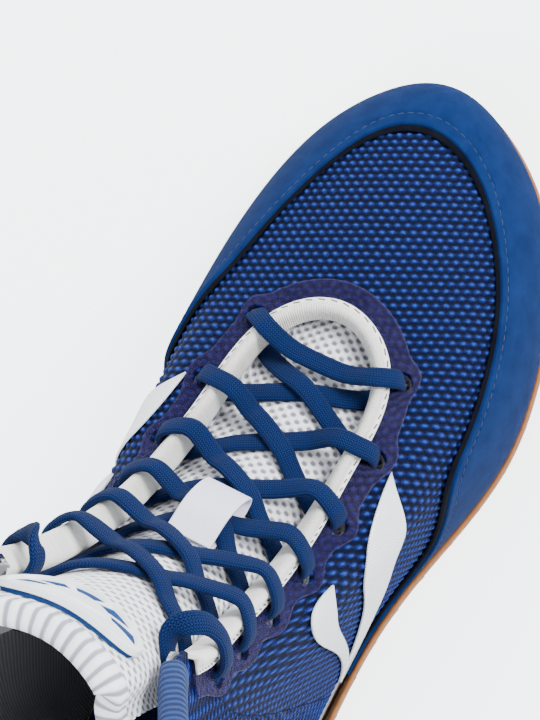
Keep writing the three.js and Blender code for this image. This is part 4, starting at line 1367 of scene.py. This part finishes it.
def route_through(points, t):
    """A curve through the points. Its tangents are as long as the shorter gap beside them, so that
    it doesn't swing out."""
    gaps = np.linalg.norm(np.diff(points, axis=0), axis=1)
    reach = np.minimum(np.append(gaps, gaps[-1]), np.insert(gaps, 0, gaps[0]))
    tangent = unit(np.gradient(points, axis=0)) * reach[:, None]
    i = np.clip(np.floor(t).astype(int), 0, len(points) - 2)
    f = (t - i)[:, None]
    a, b, m, n = points[i], points[i + 1], tangent[i], tangent[i + 1]
    return (
        (2 * f**3 - 3 * f**2 + 1) * a
        + (f**3 - 2 * f**2 + f) * m
        + (3 * f**2 - 2 * f**3) * b
        + (f**3 - f**2) * n
    )


def braid_section():
    ridges = 6
    angle = np.linspace(0, 2 * np.pi, 40, endpoint=False)
    x, y = (0.5 * np.sign(v) * np.abs(v) ** 0.75 for v in (np.cos(angle), np.sin(angle)))
    y = y * (1 - 0.07 * (1 - np.cos(2 * np.pi * ridges * (x + 0.5))))
    return np.stack([x, y], -1)


def tape_section(count):
    x = np.linspace(-0.5, 0.5, 2 * count)
    return np.concatenate([np.stack([-x, 0 * x + 0.5], -1), np.stack([x, 0 * x - 0.5], -1)])


ribbon("lace_braided", [*strand(MEDIAL)[::-1], *lace_bar(), *strand(LATERAL)], LACE_WIDTH, LACE_THICKNESS,
       "lace", ["lace"], 0.4, braid_section())

TAPE_WIDTH, TAPE_THICKNESS = 13.5, 0.8
TAPE_PATH = [(1, 0.8), (0.66, 0.75), (0.33, 0.7), (0, 0.8), (-0.18, 3), (-0.12, 6.4), (0.2, 8.6), (0.45, 9),
             (0.7, 7.8), (0.88, 4.4), (1, 1.9)]


def tape_loop():
    """The tape on the tongue that the lace goes through, sewn down at its upper end."""
    toe, sewn = EYELETS[KEEPER_ROW] - 0.05, EYELETS[KEEPER_ROW + 1] + 0.1
    places = [tongue_place(toe + (sewn - toe) * share, MIDDLE, offset) for share, offset in TAPE_PATH]
    ribbon("tongue_tape", places, TAPE_WIDTH, TAPE_THICKNESS, "tape", ["tongue_lace_loop"], 0.4,
           tape_section(20))


tape_loop()

# ---- Badge ----

BADGE_ROW, BADGE_HEIGHT, BADGE_WIDTH = TONGUE_ROWS - 0.8, 0.48, 0.85


def badge_place(radius, angle, offset):
    return tongue(BADGE_ROW + BADGE_HEIGHT * radius * np.sin(angle),
                  MIDDLE + BADGE_WIDTH * radius * np.cos(angle), offset)


WINDOWS = 5
WINDOW_INSIDE, WINDOW_OUTSIDE = 0.42, 0.84


def badge():
    radius = np.concatenate(
        [np.linspace(0.01, 0.4, 16), np.linspace(WINDOW_INSIDE, WINDOW_OUTSIDE, 28), np.linspace(0.85, 1, 16)]
    )
    angle = np.linspace(0, 2 * np.pi, 360, endpoint=False)
    r, a = np.meshgrid(radius, angle, indexing="ij")
    rim_raised = 0.9 * smooth(r, 0.84, 0.88) * (1 - smooth(r, 0.96, 1.0))
    height = 2.2 + rim_raised + 0.4 * (1 - smooth(r, 0.3, 0.42)) - 0.35 * smooth(r, 0.97, 1.0)
    quads = grid_quads(*r.shape, wrap_m=True)
    middle_r, middle_a = r.ravel()[quads].mean(1), a.ravel()[quads][:, 0]
    share = (middle_a % np.pi) / (np.pi / WINDOWS) % 1
    ringed = (middle_r > WINDOW_INSIDE) & (middle_r < WINDOW_OUTSIDE) & (middle_a > np.pi)
    quads = quads[~(ringed & (share > 0.12) & (share < 0.88))]
    points, faces, _ = thick(badge_place(r, a, height), badge_place(r, a, 1.5), quads)
    piece("vent_plate", points, faces, "moulded", ["tongue_badge"])
    angle = np.linspace(0, 2 * np.pi, 96, endpoint=False)
    r, a = np.meshgrid(np.linspace(0.05, 0.95, 12), angle, indexing="ij")
    quads = grid_quads(*r.shape, wrap_m=True)
    points, faces, _ = thick(badge_place(r, a, 2.05), badge_place(r, a, 0.3), quads)
    piece("vent_backing_felt", points, faces, "vent_backing", ["badge_backing"])


badge()

# ---- Pull loop ----


LOOP_HEIGHT, LOOP_WIDTH, LOOP_THICKNESS = 24, 14, 1.2


def pull_loop():
    angle = 2 * np.pi * np.arange(24) / 24 - np.pi / 2
    level = 0.5 + 0.5 * np.sin(angle)
    spread = 5 * np.cos(angle) * (0.35 + 0.9 * level)
    points = LOOP_HINGE + np.stack([-spread - 2 * level, 0 * level, LOOP_HEIGHT * level], -1)
    facing = np.stack([-np.cos(angle), 0 * angle, np.sin(angle)], -1)
    ribbon("pull_loop_webbing", list(zip(points, facing)), LOOP_WIDTH, LOOP_THICKNESS, "webbing",
           ["heel_pull_loop"], 0.5, tape_section(18), closed=True, body="pull_loop")


pull_loop()

# ---- CAD nodes that keep their shape ----

for node in ("aglet_lateral", "aglet_medial"):
    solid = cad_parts[node]
    solid.data.materials.clear()
    solid.data.materials.append(MATERIALS["aglet"])

# ---- Floor ----


FLOOR_REACH = 3.0
FLOOR_GAP = 0.0005


def floor():
    s = Shader("pale_floor")
    tint = s.fade(s.noise(s.place(), 3, 2), 0.3, 0.7, (0.80, 0.835, 0.86), (0.81, 0.845, 0.87))
    seen = s.node("LightPath").outputs["Is Camera Ray"]
    glow = s.math("MULTIPLY_ADD", seen, 3.0, 0.3)
    surface = s.node("BsdfPrincipled", Base_Color=tint, Emission_Color=tint, Emission_Strength=glow,
                     Roughness=0.9)
    s.node("OutputMaterial", Surface=surface.outputs[0])
    corners = [(x * FLOOR_REACH, y * FLOOR_REACH, 0) for x, y in ((-1, -1), (1, -1), (1, 1), (-1, 1))]
    mesh = bpy.data.meshes.new("floor")
    mesh.from_pydata(corners, [], [(0, 1, 2, 3)])
    mesh.materials.append(s.material)
    plane = bpy.data.objects.new("floor", mesh)
    bpy.context.scene.collection.objects.link(plane)
    plane.location.z = -FLOOR_GAP


floor()
